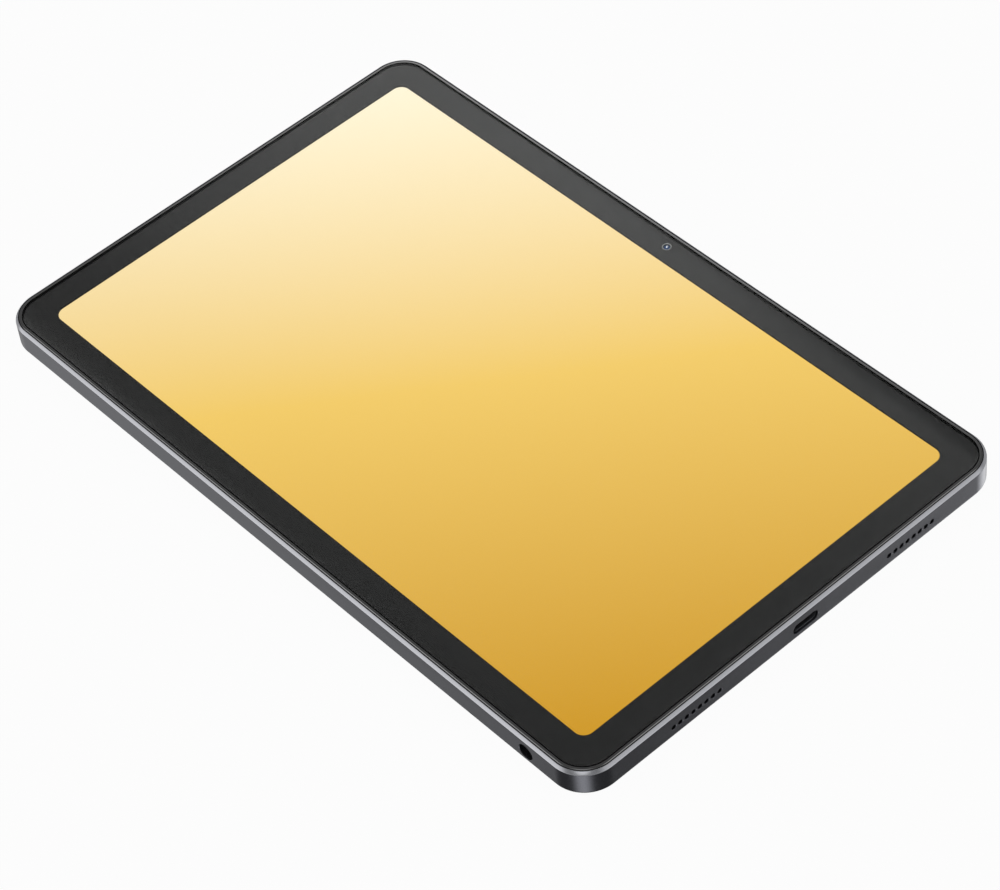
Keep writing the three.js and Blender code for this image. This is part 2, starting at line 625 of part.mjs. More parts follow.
function makeDisplay() {
  const panel = panelBlock(0, PANEL_BOTTOM, PANEL_TOP);
  const backlight = panelBlock(BACKLIGHT_MARGIN, BACKLIGHT_BOTTOM, BACKLIGHT_TOP);
  const driverBottom = PLATE_TOP + CLEARANCE / 2;
  const driverLeft = SPINE_X + DISPLAY_FLEX_RUN;
  const driverRight = driverLeft + DRIVER_BOARD_LENGTH;
  const driverTop = driverBottom + DRIVER_BOARD_THICKNESS;
  const driverLow = PANEL_LOW + 0.6;
  const driverHigh = driverLow + DRIVER_BOARD_WIDTH;
  const driver = block(driverLeft, driverRight, driverLow, driverHigh, driverBottom, driverTop);

  // The display flex runs along the mid plate and drops through its notch to the main board.
  const flexTop = driverBottom + FLEX_THICKNESS;
  const dropX = CONNECTOR_X;
  const displayFlex = join(
    block(dropX, driverLeft - CLEARANCE, driverLow + 1, driverHigh - 1, driverBottom, flexTop),
    block(dropX, dropX + FLEX_THICKNESS, driverLow + 1, driverHigh - 1, PART_TOP, flexTop),
  );

  // The touch flex folds round the display's edge and runs over the speaker to the main board.
  const foldX = -PANEL_HALF_LENGTH - 1.6;
  const touchTop = PANEL_TOP - 0.2;
  const touchFlex = join(
    block(foldX, MAIN_BOARD_LEFT + 3, ...TOUCH_FLEX_Y, FLEX_LEVEL, FLEX_LEVEL + FLEX_THICKNESS),
    block(foldX, foldX + FLEX_THICKNESS, ...TOUCH_FLEX_Y, FLEX_LEVEL, touchTop),
    block(foldX, -PANEL_HALF_LENGTH - CLEARANCE, ...TOUCH_FLEX_Y, touchTop - FLEX_THICKNESS, touchTop),
  );
  return [
    toMesh("display_panel", panel, panelFilm),
    toMesh("backlight_unit", backlight, whiteFilm),
    toMesh("display_driver_board", driver, boardGreen),
    toMesh("display_flex", displayFlex, flexOrange),
    toMesh("touch_flex", touchFlex, flexOrange),
  ];
}

// ---------------------------------------------------------------- mid plate and screws

function screw(x, y, seat, length) {
  const head = post(x, y, seat, seat + SCREW_HEAD_HEIGHT, SCREW_HEAD_RADIUS, SCREW_HEAD_RADIUS, 16);
  const shank = post(x, y, seat - length, seat + 0.1, SCREW_RADIUS, SCREW_RADIUS, 12);
  const driverHole = post(x, y, seat + 0.15, seat + 1, SCREW_DRIVE_RADIUS, SCREW_DRIVE_RADIUS, 6);
  return head.add(shank).subtract(driverHole);
}

function makeMidPlate() {
  const halfX = PANEL_HALF_LENGTH + 1;
  const plateRadius = 5;
  const rings = [
    [0, PLATE_BOTTOM],
    [0, PLATE_TOP],
  ];
  const outline = roundedLoft(halfX, INNER_Y - PLATE_EDGE, plateRadius, rings, 6);
  const plateHole = SCREW_RADIUS + 2 * SCREW_CLEARANCE;
  const holes = PLATE_SCREWS.map(([x, y]) =>
    post(x, y, 0, 20, plateHole, plateHole, 12),
  );
  const usbRoom = USB_LENGTH / 2 + 1.5;
  const jackRoom = JACK_WIDTH / 2 + 0.8;
  const notches = [
    block(SPEAKER_OUTER - USB_DEPTH, 200, PORT_OFFSET - usbRoom, PORT_OFFSET + usbRoom, 0, 20),
    block(JACK_X - jackRoom, JACK_X + jackRoom, -200, JACK_LENGTH + 1.5 - INNER_Y, 0, 20),
    block(CONNECTOR_X - 1.5, CONNECTOR_X + 1.5, -200, PANEL_LOW + 9, 0, 20),
  ];
  return toMesh("mid_plate", cut(toSolid(outline), ...holes, ...notches), steel);
}

const makeScrews = () => [
  ...PLATE_SCREWS.map(([x, y], i) =>
    toMesh("plate_screw_" + (i + 1), screw(x, y, PLATE_TOP + 0.02, PLATE_SCREW_LENGTH), steel),
  ),
  ...[...BOARD_SCREWS, ...USB_BOARD_SCREWS].map(([x, y], i) =>
    toMesh("board_screw_" + (i + 1), screw(x, y, BOARD_TOP + 0.02, BOARD_SCREW_LENGTH), steel),
  ),
];

// ---------------------------------------------------------------- battery

function makeBattery() {
  const left = SPINE_X + BOSS_RADIUS + 1.2;
  const right = COLUMN_X - BOSS_RADIUS - 1.2;
  const low = 18 - INNER_Y;
  const high = INNER_Y - 16.5;
  const cellLeft = left + GUARD_WIDTH + 0.6;
  const middle = (cellLeft + right) / 2;
  const seam = 0.75;
  const cell = (x0, x1) => {
    const halfX = (x1 - x0) / 2;
    const halfY = (high - low) / 2;
    const rings = [
      [0.8, PART_BOTTOM],
      [0, PART_BOTTOM + 0.8],
      [0, PART_TOP - 0.8],
      [0.8, PART_TOP],
    ];
    const loft = roundedLoft(halfX, halfY, 2.5, rings, 4);
    return toSolid(loft.translate((x0 + x1) / 2, (low + high) / 2, 0));
  };
  const guardTop = PART_BOTTOM + GUARD_HEIGHT;
  const guardY = span(GUARD_MIDDLE, GUARD_LENGTH);
  const guard = block(left, left + GUARD_WIDTH, ...guardY, PART_BOTTOM, guardTop);
  const leadBottom = guardTop + CLEARANCE / 2;
  const leadLeft = CONNECTOR_X - CONNECTOR_WIDTH / 2;
  const leadRight = left + GUARD_WIDTH - 1;
  const lead = block(leadLeft, leadRight, ...LEAD_Y, leadBottom, leadBottom + FLEX_THICKNESS);
  return [
    toMesh("battery_cell_1", cell(cellLeft, middle - seam), cellSilver),
    toMesh("battery_cell_2", cell(middle + seam, right), cellSilver),
    toMesh("battery_guard_board", guard, cellBlack),
    toMesh("battery_lead", lead, flexOrange),
  ];
}

// ---------------------------------------------------------------- boards

function makeMainBoard() {
  const high = MAIN_BOARD_HALF_WIDTH;
  const cameraHalf = REAR_CAMERA_SIZE / 2 + 1.2;
  const board = block(MAIN_BOARD_LEFT, MAIN_BOARD_RIGHT, -high, high, BOARD_HEIGHT, BOARD_TOP);
  const cameraRoom = block(-200, REAR_CAMERA_X + cameraHalf, REAR_CAMERA_Y - cameraHalf, 200, 0, 20);
  const holes = BOARD_SCREWS.map(([x, y]) => post(x, y, 0, 20, BOARD_HOLE_RADIUS, BOARD_HOLE_RADIUS, 12));
  const left = CONNECTOR_X - CONNECTOR_WIDTH / 2;
  const right = CONNECTOR_X + CONNECTOR_WIDTH / 2;
  const root = BOARD_TOP - 0.1;
  const sockets = [
    block(left, right, ...LINK_SOCKET_Y, root, PART_TOP),
    block(left, right, ...LEAD_Y, root, PART_BOTTOM + GUARD_HEIGHT),
    block(left + 0.5, right, PANEL_LOW + 2, PANEL_LOW + 7, root, PART_TOP - 0.1),
    block(MAIN_BOARD_LEFT + 0.5, MAIN_BOARD_LEFT + 3, ...TOUCH_FLEX_Y, root, PART_TOP),
  ];
  return toMesh("main_board", join(cut(board, cameraRoom, ...holes), ...sockets), boardGreen);
}

// Thin steel cans over the chips, open below.
function shieldCan(name, y0, y1) {
  const wall = SHIELD_WALL;
  const bottom = BOARD_TOP + 0.04;
  const top = PART_TOP - GRAPHITE_THICKNESS - 0.05;
  const can = cut(
    block(SHIELD_LEFT, SHIELD_RIGHT, y0, y1, bottom, top),
    block(SHIELD_LEFT + wall, SHIELD_RIGHT - wall, y0 + wall, y1 - wall, 0, top - wall),
  );
  return toMesh(name, can, steel);
}

function makeShields() {
  const names = ["power_shield", "processor_shield", "radio_shield"];
  const step = (SHIELDS_HIGH - SHIELDS_LOW) / names.length;
  const shields = names.map((name, i) => {
    const low = SHIELDS_LOW + i * step;
    return shieldCan(name, low, low + step - SHIELD_SPACING);
  });
  const sheetTop = PART_TOP - 0.02;
  const sheet = block(
    SHIELD_LEFT + 1,
    SHIELD_RIGHT - 1,
    SHIELDS_LOW + 1,
    SHIELDS_HIGH - SHIELD_SPACING - 1,
    sheetTop - GRAPHITE_THICKNESS,
    sheetTop,
  );
  return [...shields, toMesh("heat_spreader", sheet, graphite)];
}

function makeUsb() {
  const right = SPEAKER_OUTER - 0.5;
  const half = USB_LENGTH / 2 + CLEARANCE;
  const board = cut(
    block(USB_BOARD_LEFT, right, USB_BOARD_LOW, USB_BOARD_HIGH, BOARD_HEIGHT, BOARD_TOP),
    block(USB_INNER - CLEARANCE, 200, PORT_OFFSET - half, PORT_OFFSET + half, 0, 20),
    ...USB_BOARD_SCREWS.map(([x, y]) => post(x, y, 0, 20, BOARD_HOLE_RADIUS, BOARD_HOLE_RADIUS, 12)),
  );
  const socketLeft = USB_BOARD_LEFT + 0.5;
  const socketRight = USB_BOARD_LEFT + 3;
  const socket = block(socketLeft, socketRight, ...LINK_SOCKET_Y, BOARD_TOP - 0.1, PART_TOP);
  const frame = wallFrame("+X", PORT_OFFSET, PORT_HEIGHT);
  const front = -USB_RECESS;
  const rear = -USB_RECESS - USB_DEPTH;
  const shell = cut(
    wallBar(frame, USB_LENGTH, USB_HEIGHT, [[0, rear], [0, front]]),
    wallBar(frame, USB_LENGTH, USB_HEIGHT, [[USB_SHELL, rear - 1], [USB_SHELL, front + 1]]),
  );
  const seat = USB_SHELL + CLEARANCE / 2;
  const wide = USB_LENGTH / 2 - USB_SHELL - USB_TONGUE_SIDE_GAP;
  const thick = USB_TONGUE_THICKNESS / 2;
  const tongue = join(
    wallBar(frame, USB_LENGTH, USB_HEIGHT, [[seat, rear], [seat, rear + USB_BACK]]),
    wallBlock(frame, -wide, wide, -thick, thick, rear + USB_BACK / 2, front - USB_TONGUE_RECESS),
  );
  const linkLeft = CONNECTOR_X - CONNECTOR_WIDTH / 2;
  const linkTop = FLEX_LEVEL + FLEX_THICKNESS;
  const link = block(linkLeft, socketRight, ...LINK_Y, FLEX_LEVEL, linkTop);
  return [
    toMesh("usb_board", board.add(socket), boardGreen),
    toMesh("usb_receptacle", shell, steel),
    toMesh("usb_tongue", tongue, blackPlastic),
    toMesh("board_link_flex", link, flexOrange),
  ];
}

// ---------------------------------------------------------------- sound

function makeSpeakers() {
  const meshes = [];
  const half = SPEAKER_LENGTH / 2;
  const low = PORT_HEIGHT - SOUND_CHANNEL_HALF_HEIGHT;
  const high = PORT_HEIGHT + SOUND_CHANNEL_HALF_HEIGHT;
  let number = 0;
  for (const side of ["+X", "-X"])
    for (const [i, centre] of GRILLE_CENTRES.entries()) {
      number += 1;
      const frame = wallFrame(side, centre, 0);
      const boxFrame = wallFrame(side, (SPEAKER_SPANS[i][0] + SPEAKER_SPANS[i][1]) / 2, 0);
      const front = -WALL - INSIDE_GAP;
      const rear = front - SPEAKER_DEPTH;
      const channelBack = front - SOUND_CHANNEL_DEPTH;
      const box = cut(
        wallBlock(boxFrame, -half, half, PART_BOTTOM, PART_TOP - 0.1, rear, front),
        wallBlock(frame, -GRILLE_HALF, GRILLE_HALF, low, high - 0.6, channelBack, 0),
      );
      const meshFace = -WALL - CLEARANCE;
      const meshBack = meshFace - MESH_THICKNESS;
      const dust = wallBlock(frame, -GRILLE_HALF, GRILLE_HALF, low, high, meshBack, meshFace);
      meshes.push(toMesh("speaker_" + number, box, blackPlastic));
      meshes.push(toMesh("speaker_mesh_" + number, dust, graphite));
    }
  return meshes;
}

function makeJack() {
  const frame = wallFrame("-Y", JACK_X, PORT_HEIGHT);
  const front = -WALL - CLEARANCE;
  const half = JACK_WIDTH / 2;
  const halfHeight = JACK_BODY_HEIGHT / 2;
  const bore = new THREE.CylinderGeometry(JACK_BORE_RADIUS, JACK_BORE_RADIUS, 40, 24);
  bore.rotateX(Math.PI / 2).translate(0, 0, 20 + front - JACK_LENGTH + 1);
  const body = cut(
    wallBlock(frame, -half, half, -halfHeight, halfHeight, front - JACK_LENGTH, front),
    toSolid(bore.applyMatrix4(frame)),
  );
  const flexLeft = USB_BOARD_LEFT - 0.4;
  const flex = block(
    flexLeft,
    flexLeft + 2.4,
    JACK_LENGTH + 0.5 - INNER_Y,
    USB_BOARD_LOW + 3,
    PART_BOTTOM,
    PART_BOTTOM + FLEX_THICKNESS,
  );
  return [toMesh("headphone_jack", body, blackPlastic), toMesh("jack_flex", flex, flexOrange)];
}

const makeMicrophones = () =>
  MICROPHONES_X.map((x, i) => {
    const frame = wallFrame("+Y", x, 0);
    const half = MICROPHONE_LENGTH / 2;
    const rear = -WALL - MICROPHONE_DEPTH;
    const top = KEY_LEVEL + 0.6;
    const body = wallBlock(frame, -half, half, PART_BOTTOM, top, rear, -WALL - CLEARANCE);
    const portRadius = MICROPHONE_PORT_RADIUS - 0.05;
    const port = wallDrill(wallFrame("+Y", x, KEY_LEVEL), portRadius, WALL + 1.2, 0.05, 8);
    return toMesh("microphone_" + (i + 1), body.subtract(port), steel);
  });

// ---------------------------------------------------------------- cameras

function makeFrontCamera() {
  const half = FRONT_CAMERA_SIZE / 2;
  const x = FRONT_CAMERA_X;
  const y = FRONT_CAMERA_Y;
  const bodyTop = GLASS_BOTTOM - 0.8;
  const body = block(x - half, x + half, y - half, y + half, PLATE_TOP, bodyTop);
  const barrelTop = GLASS_BOTTOM - CLEARANCE;
  const coneRadii = [0.5, 1.25]; // of the hollow over the lens, at its bottom and its mouth
  const barrel = cut(
    post(x, y, bodyTop + 0.02, barrelTop, FRONT_LENS_RADIUS, FRONT_LENS_RADIUS, 28),
    post(x, y, barrelTop - 0.35, barrelTop + 0.1, ...coneRadii, 28),
  );
  return [
    toMesh("front_camera", body, blackPlastic),
    toMesh("front_camera_barrel", barrel, lensGlass),
  ];
}

// Ring and window lie flush in the rear face; the barrel moves in its module to focus.
function makeRearCamera() {
  const x = REAR_CAMERA_X;
  const y = REAR_CAMERA_Y;
  const half = REAR_CAMERA_SIZE / 2;
  const moduleBottom = FLOOR + 0.25;
  const ringBore = REAR_WINDOW_RADIUS + CLEARANCE;
  const ring = cut(
    post(x, y, 0, FLOOR + 0.15, REAR_RING_RADIUS, REAR_RING_RADIUS, 36),
    post(x, y, -1, REAR_WINDOW_SINK, ringBore + 0.8, ringBore, 36),
    post(x, y, REAR_WINDOW_SINK - 0.05, 3, ringBore, ringBore, 36),
  );
  const windowTop = REAR_WINDOW_SINK + REAR_WINDOW_THICKNESS;
  const window = post(x, y, REAR_WINDOW_SINK, windowTop, REAR_WINDOW_RADIUS, REAR_WINDOW_RADIUS, 36);
  const barrelRoom = REAR_BARREL_RADIUS + 0.15;
  const moduleTop = PART_TOP;
  const body = cut(
    block(x - half, x + half, y - half, y + half, moduleBottom, moduleTop),
    post(x, y, 0, moduleTop - 0.7, barrelRoom, barrelRoom, 28),
  );
  const barrelBottom = moduleBottom + 0.3;
  const coneRadii = [2.2, 1.2]; // of the hollow under the lens, at its mouth and its bottom
  const barrel = cut(
    post(x, y, barrelBottom, barrelBottom + REAR_BARREL_LENGTH, REAR_BARREL_RADIUS, REAR_BARREL_RADIUS, 28),
    post(x, y, barrelBottom - 0.1, barrelBottom + 0.5, ...coneRadii, 28),
  );
  const flash = post(FLASH_X, y, 0, FLOOR + 0.3, FLASH_RADIUS, FLASH_RADIUS, 24);
  return [
    toMesh("rear_camera_ring", ring, anodised),
    toMesh("rear_camera_window", window, lensGlass),
    toMesh("rear_camera", body, blackPlastic),
    toMesh("rear_camera_barrel", barrel, lensGlass),
    toMesh("flash_lens", flash, diffuser),
  ];
}

// ---------------------------------------------------------------- keys

const KEY_FLANGE_FACE = -WALL - 0.15;
const KEY_BACK = KEY_FLANGE_FACE - KEY_FLANGE_THICKNESS;
const DOME_FACE = KEY_BACK - POWER_KEY_TRAVEL - DOME_GAP;
const SWITCH_FACE = DOME_FACE - DOME_HEIGHT + 0.05;
const SWITCH_BACK = SWITCH_FACE - SWITCH_BOARD_THICKNESS;
const SWITCH_HALF_HEIGHT = 1.2;

// Ribs on the floor that hold the switch boards against the keys.
function switchRibs() {
  const rib = (frame, half) =>
    wallBlock(frame, -half, half, FLOOR - 0.2, 3.6, SWITCH_BACK - 0.9, SWITCH_BACK - CLEARANCE);
  return [
    rib(wallFrame("-X", POWER_KEY_Y, 0), POWER_KEY_LENGTH / 2),
    rib(wallFrame("+Y", VOLUME_KEY_X, 0), VOLUME_KEY_LENGTH / 2),
  ];
}

// A key's cap: a rounded bar through the wall with an eased outer edge.
const keyCap = (frame, length) =>
  wallBar(frame, length, KEY_HEIGHT, [
    [0, KEY_FLANGE_FACE - 0.1],
    [0, KEY_PROUD - 0.18],
    [0.06, KEY_PROUD - 0.06],
    [0.18, KEY_PROUD],
  ]);

// A strip of board with metal domes facing the key.
function switchBoard(name, side, along, length, domes) {
  const frame = wallFrame(side, along, KEY_LEVEL);
  const high = SWITCH_HALF_HEIGHT;
  let board = wallBlock(frame, -length / 2, length / 2, -high, high, SWITCH_BACK, SWITCH_FACE);
  for (const x of domes) {
    const dome = new THREE.CylinderGeometry(0.6, 1.1, DOME_HEIGHT, 16).rotateX(Math.PI / 2);
    dome.translate(x, 0, DOME_FACE - DOME_HEIGHT / 2).applyMatrix4(frame);
    board = board.add(toSolid(dome));
  }
  return toMesh(name, board, flexOrange);
}

function makeKeys() {
  const flangeHalf = KEY_HEIGHT / 2 + KEY_FLANGE_RISE;
  const powerFrame = wallFrame("-X", POWER_KEY_Y, KEY_LEVEL);
  const powerFlange = [-POWER_FLANGE_HALF, POWER_FLANGE_HALF, -flangeHalf, flangeHalf];
  const power = join(
    keyCap(powerFrame, POWER_KEY_LENGTH),
    wallBlock(powerFrame, ...powerFlange, KEY_BACK, KEY_FLANGE_FACE),
  );
  const volumeFrame = wallFrame("+Y", VOLUME_KEY_X, KEY_LEVEL);
  const nub = VOLUME_DOME_SPACING / 2;
  const volumeFlange = [...span(0, VOLUME_FLANGE_LENGTH), -flangeHalf, flangeHalf];
  const volume = join(
    keyCap(volumeFrame, VOLUME_KEY_LENGTH),
    wallBlock(volumeFrame, ...volumeFlange, KEY_BACK, KEY_FLANGE_FACE),
    wallBlock(volumeFrame, ...span(-nub, 2), ...span(0, 1.6), KEY_BACK, KEY_FLANGE_FACE),
    wallBlock(volumeFrame, ...span(nub, 2), ...span(0, 1.6), KEY_BACK, KEY_FLANGE_FACE),
  );
  return [
    toMesh("power_button", power, anodised),
    toMesh("volume_key", volume, anodised),
    switchBoard("power_switch_board", "-X", POWER_KEY_Y, POWER_KEY_LENGTH, [0]),
    switchBoard("volume_switch_board", "+Y", VOLUME_KEY_X, VOLUME_KEY_LENGTH, [-nub, nub]),
  ];
}

// ---------------------------------------------------------------- card tray, reader and eject linkage

const TRAY_BOTTOM = TRAY_LEVEL - TRAY_THICKNESS / 2;
const TRAY_TOP = TRAY_LEVEL + TRAY_THICKNESS / 2;
const READER_BASE = BOARD_TOP + 0.05;
const READER_FLOOR = READER_BASE + 0.2;
const LEVER_Y = TRAY_REAR - LEVER_BEHIND_TRAY;
const LEVER_X = ROD_X + LEVER_FROM_ROD;
const LEVER_HALF = 0.7;
const ROD_END = LEVER_Y + LEVER_HALF + 0.3;
const LEVER_BOTTOM = READER_FLOOR + 0.15;
const LEVER_TOP = LEVER_BOTTOM + LEVER_THICKNESS;

function makeCardTray() {
  const frame = wallFrame("+Y", DOOR_X, TRAY_LEVEL);
  const door = wallBar(frame, DOOR_LENGTH, DOOR_HEIGHT, [
    [0, 0.1 - WALL],
    [0, -0.16],
    [0.1, -0.06],
  ]);
  const pinHole = wallDrill(wallFrame("+Y", ROD_X, TRAY_LEVEL), PIN_HOLE_RADIUS, WALL + 1, 0.12);
  const rootY = HALF_WIDTH - WALL + 0.3;
  const body = block(TRAY_LEFT, TRAY_RIGHT, TRAY_REAR, rootY, TRAY_BOTTOM, TRAY_TOP);
  const middle = (TRAY_LEFT + TRAY_RIGHT) / 2;
  const cardRear = TRAY_REAR + 2;
  const pocket = block(
    middle - CARD_WIDTH / 2,
    middle + CARD_WIDTH / 2,
    cardRear,
    cardRear + CARD_LENGTH,
    TRAY_TOP - CARD_DEPTH,
    20,
  );
  const tray = join(door, body).subtract(pocket).subtract(pinHole);
  return toMesh("card_tray", tray, anodised);
}

function makeCardReader() {
  const wall = READER_WALL;
  const left = TRAY_LEFT - READER_GAP - wall;
  const right = TRAY_RIGHT + READER_GAP + wall;
  const mouth = INNER_Y - 0.3;
  const top = PART_TOP;
  const base = block(ROD_X - 1.2, right, LEVER_Y - 2, mouth, READER_BASE, READER_FLOOR);
  const shell = cut(
    block(left, right, TRAY_REAR, mouth, READER_BASE, top),
    block(left + wall, right - wall, TRAY_REAR - 1, mouth + 1, READER_FLOOR, TRAY_TOP + 0.1),
  );
  const radius = LEVER_PIVOT_RADIUS;
  const pivot = post(LEVER_X, LEVER_Y, READER_FLOOR - 0.1, LEVER_TOP + 0.3, radius, radius, 14);
  return toMesh("card_reader", join(base, shell, pivot), steel);
}

function makeEjectLinkage() {
  const rodHalf = ROD_WIDTH / 2;
  const rodFront = INNER_Y - 0.9;
  const rod = block(ROD_X - rodHalf, ROD_X + rodHalf, ROD_END, rodFront, LEVER_BOTTOM, LEVER_TOP);
  const arms = [LEVER_X - LEVER_SHORT_ARM, LEVER_X + LEVER_LONG_ARM];
  const armY = [LEVER_Y - LEVER_HALF, LEVER_Y + LEVER_HALF];
  const bore = LEVER_PIVOT_RADIUS + CLEARANCE;
  const lever = cut(
    join(
      block(...arms, ...armY, LEVER_BOTTOM, LEVER_TOP),
      post(LEVER_X, LEVER_Y, LEVER_BOTTOM, LEVER_TOP, LEVER_HUB_RADIUS, LEVER_HUB_RADIUS, 18),
    ),
    post(LEVER_X, LEVER_Y, 0, 20, bore, bore, 14),
  );
  return [toMesh("eject_rod", rod, steel), toMesh("eject_lever", lever, copperPlate)];
}

// ---------------------------------------------------------------- assembly

function subassembly(...meshes) {
  const group = new THREE.Group();
  group.add(...meshes.flat());
  return group;
}

const tablet = new THREE.Group();
tablet.add(
  subassembly(makeRearHousing(), makeAntennaCover(), makeBezelRing(), makeCoverGlass()),
  subassembly(makeDisplay()),
  subassembly(makeMidPlate(), makeScrews()),
  subassembly(makeBattery()),
  subassembly(makeMainBoard(), makeShields(), makeUsb()),
  subassembly(makeSpeakers(), makeJack(), makeMicrophones()),
  subassembly(makeFrontCamera(), makeRearCamera()),
  subassembly(makeKeys()),
  subassembly(makeCardTray(), makeCardReader(), makeEjectLinkage()),
);

export default tablet;
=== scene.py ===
"""Tablet computer lying on its back, display up, its long sides along X. Sizes are in millimetres until
a mesh is written."""

import bpy
import numpy as np
from mathutils import Matrix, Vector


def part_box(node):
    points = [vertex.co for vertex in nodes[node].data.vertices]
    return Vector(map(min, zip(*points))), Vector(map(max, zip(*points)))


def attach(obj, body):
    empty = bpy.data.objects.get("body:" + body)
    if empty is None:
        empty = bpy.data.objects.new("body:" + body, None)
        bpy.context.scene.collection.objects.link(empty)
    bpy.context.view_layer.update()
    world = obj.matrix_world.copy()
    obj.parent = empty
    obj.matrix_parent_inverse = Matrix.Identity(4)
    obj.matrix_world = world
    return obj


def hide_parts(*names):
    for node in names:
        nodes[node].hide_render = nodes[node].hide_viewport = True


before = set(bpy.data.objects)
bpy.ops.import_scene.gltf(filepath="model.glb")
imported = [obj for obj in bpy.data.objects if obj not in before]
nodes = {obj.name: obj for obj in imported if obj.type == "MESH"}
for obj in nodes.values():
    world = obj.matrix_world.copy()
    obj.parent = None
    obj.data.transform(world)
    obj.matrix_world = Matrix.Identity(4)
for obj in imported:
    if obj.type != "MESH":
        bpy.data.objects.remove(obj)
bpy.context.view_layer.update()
scene = bpy.context.scene


# ---------------------------------------------------------------------------------------------
# Rear housing: one tray of aluminium, milled from plate, with its openings drilled and slotted.
# It is bead blasted and anodised slate grey, then a diamond cutter takes the chamfer round the
# front edge, which is anodised a second time and stays bright.

def box_mm(node):
    """A CAD node's lowest and highest corner, in millimetres."""
    low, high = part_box(node)
    return np.array(low) * 1000, np.array(high) * 1000


def outline(half_long, half_short, corner, steps=32):
    """Points and outward normals of a rounded rectangle, anticlockwise: each corner is a quarter
    turn of points at the corner's radius round its centre, and straight sides join the corners."""
    turn = np.arange(4)[:, None] * np.pi / 2 + np.linspace(0, np.pi / 2, steps + 1)[None, :]
    normal = np.stack([np.cos(turn), np.sin(turn)], -1)
    centre = np.array([[1, 1], [-1, 1], [-1, -1], [1, -1]]) * [half_long - corner, half_short - corner]
    point = (centre[:, None, :] + corner * normal).reshape(-1, 2)
    normal = normal.reshape(-1, 2)
    apart = np.linalg.norm(point - np.roll(point, 1, 0), axis=1) > 1e-6
    return point[apart], normal[apart]


def disc(radius, steps):
    """A circle's points and outward normals: an outline that is all corner, steps to a quarter."""
    return outline(radius, radius, radius, steps)


def facing(origin, towards):
    """Where a shape stands: its origin, its across and up directions, and the way it faces."""
    towards = np.array(towards, float)
    across = np.array([1.0, 0, 0]) if towards[2] else np.array([-towards[1], towards[0], 0])
    return np.array([origin, across, np.cross(towards, across), towards])


def swept(line, profile, place=None, ring=False):
    """A profile of (inset, height) rows carried round a closed outline: a point is the outline's
    point less inset times its normal, at that height. The ends are capped, or a ring is closed."""
    point, normal = line
    profile = np.array(profile, float)
    flat = point[:, None, :] - profile[None, :, :1] * normal[:, None, :]
    high = np.broadcast_to(profile[None, :, 1:], flat.shape[:2] + (1,))
    vertices = np.concatenate([flat, high], -1).reshape(-1, 3)
    around, rows = len(point), len(profile)
    u, v = np.meshgrid(np.arange(around), np.arange(rows if ring else rows - 1), indexing="ij")
    corner = [a % around * rows + b % rows for a, b in ((u, v), (u + 1, v), (u + 1, v + 1), (u, v + 1))]
    faces = np.stack(corner, -1).reshape(-1, 4).tolist()
    if not ring:
        first = np.arange(around) * rows
        faces += [first[::-1].tolist(), (first + rows - 1).tolist()]
    if place is not None:
        vertices = place[0] + vertices @ place[1:]
    return vertices, faces


def joined(*shapes):
    """Several shapes as one: the points in a row, each shape's faces counted on from the last."""
    start = np.cumsum([0] + [len(s[0]) for s in shapes])
    faces = [[i + int(k) for i in face] for s, k in zip(shapes, start) for face in s[1]]
    return np.concatenate([s[0] for s in shapes]), faces


def mesh_object(name, shape, materials=(), rows=None):
    """A mesh object of that shape, in metres: rows gives each face its material's number."""
    mesh = bpy.data.meshes.new(name)
    mesh.from_pydata((shape[0] / 1000).tolist(), [], shape[1])
    for material in materials:
        mesh.materials.append(material)
    if rows is not None:
        mesh.polygons.foreach_set("material_index", np.array(rows, np.int32))
    mesh.update()
    made = bpy.data.objects.new(name, mesh)
    scene.collection.objects.link(made)
    return made


def cut(piece, cutter_shape):
    """The piece less the cutter's shape, by an exact boolean, kept as the piece's own mesh."""
    cutter = mesh_object("cutter", cutter_shape)
    boolean = piece.modifiers.new("openings", "BOOLEAN")
    boolean.operation, boolean.solver, boolean.object = "DIFFERENCE", "EXACT", cutter
    seen = piece.evaluated_get(bpy.context.evaluated_depsgraph_get())
    after = bpy.data.meshes.new_from_object(seen)
    piece.modifiers.clear()
    before, piece.data = piece.data, after
    bpy.data.meshes.remove(before)
    bpy.data.objects.remove(cutter)
    after.name = piece.name
    return piece


def finish_piece(piece, body, slot, *stands_for, crisp=32):
    """Smooth shading with edges over crisp degrees kept sharp, then its body and CAD nodes. slot is not used.
    """
    piece.data.shade_smooth()
    piece.data.set_sharp_from_angle(angle=np.radians(crisp))
    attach(piece, body)
    if stands_for:
        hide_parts(*stands_for)
    return piece


def linear(hex_colour):
    """sRGB hex to linear: c / 12.92 up to 0.04045, and ((c + 0.055) / 1.055) to the power 2.4 above."""
    c = np.array([int(hex_colour[i:i + 2], 16) for i in (1, 3, 5)]) / 255
    return (*np.where(c <= 0.04045, c / 12.92, ((c + 0.055) / 1.055) ** 2.4), 1.0)


def add(tree, kind, inputs=(), **settings):
    """Adds a node with its settings: an input given another node's output is linked, or else set."""
    made = tree.nodes.new(kind)
    for name, value in settings.items():
        setattr(made, name, value)
    for socket, value in dict(inputs).items():
        if isinstance(value, bpy.types.NodeSocket):
            tree.links.new(value, made.inputs[socket])
        else:
            made.inputs[socket].default_value = value
    return made


def blank_material(name, **shader_values):
    """A material's node tree and its Principled shader, with these values on the shader's sockets."""
    material = bpy.data.materials.new(name)
    material.use_nodes = True
    tree = material.node_tree
    shader = tree.nodes["Principled BSDF"]
    for socket, value in shader_values.items():
        shader.inputs[socket.replace("_", " ")].default_value = value
    return material, tree, shader


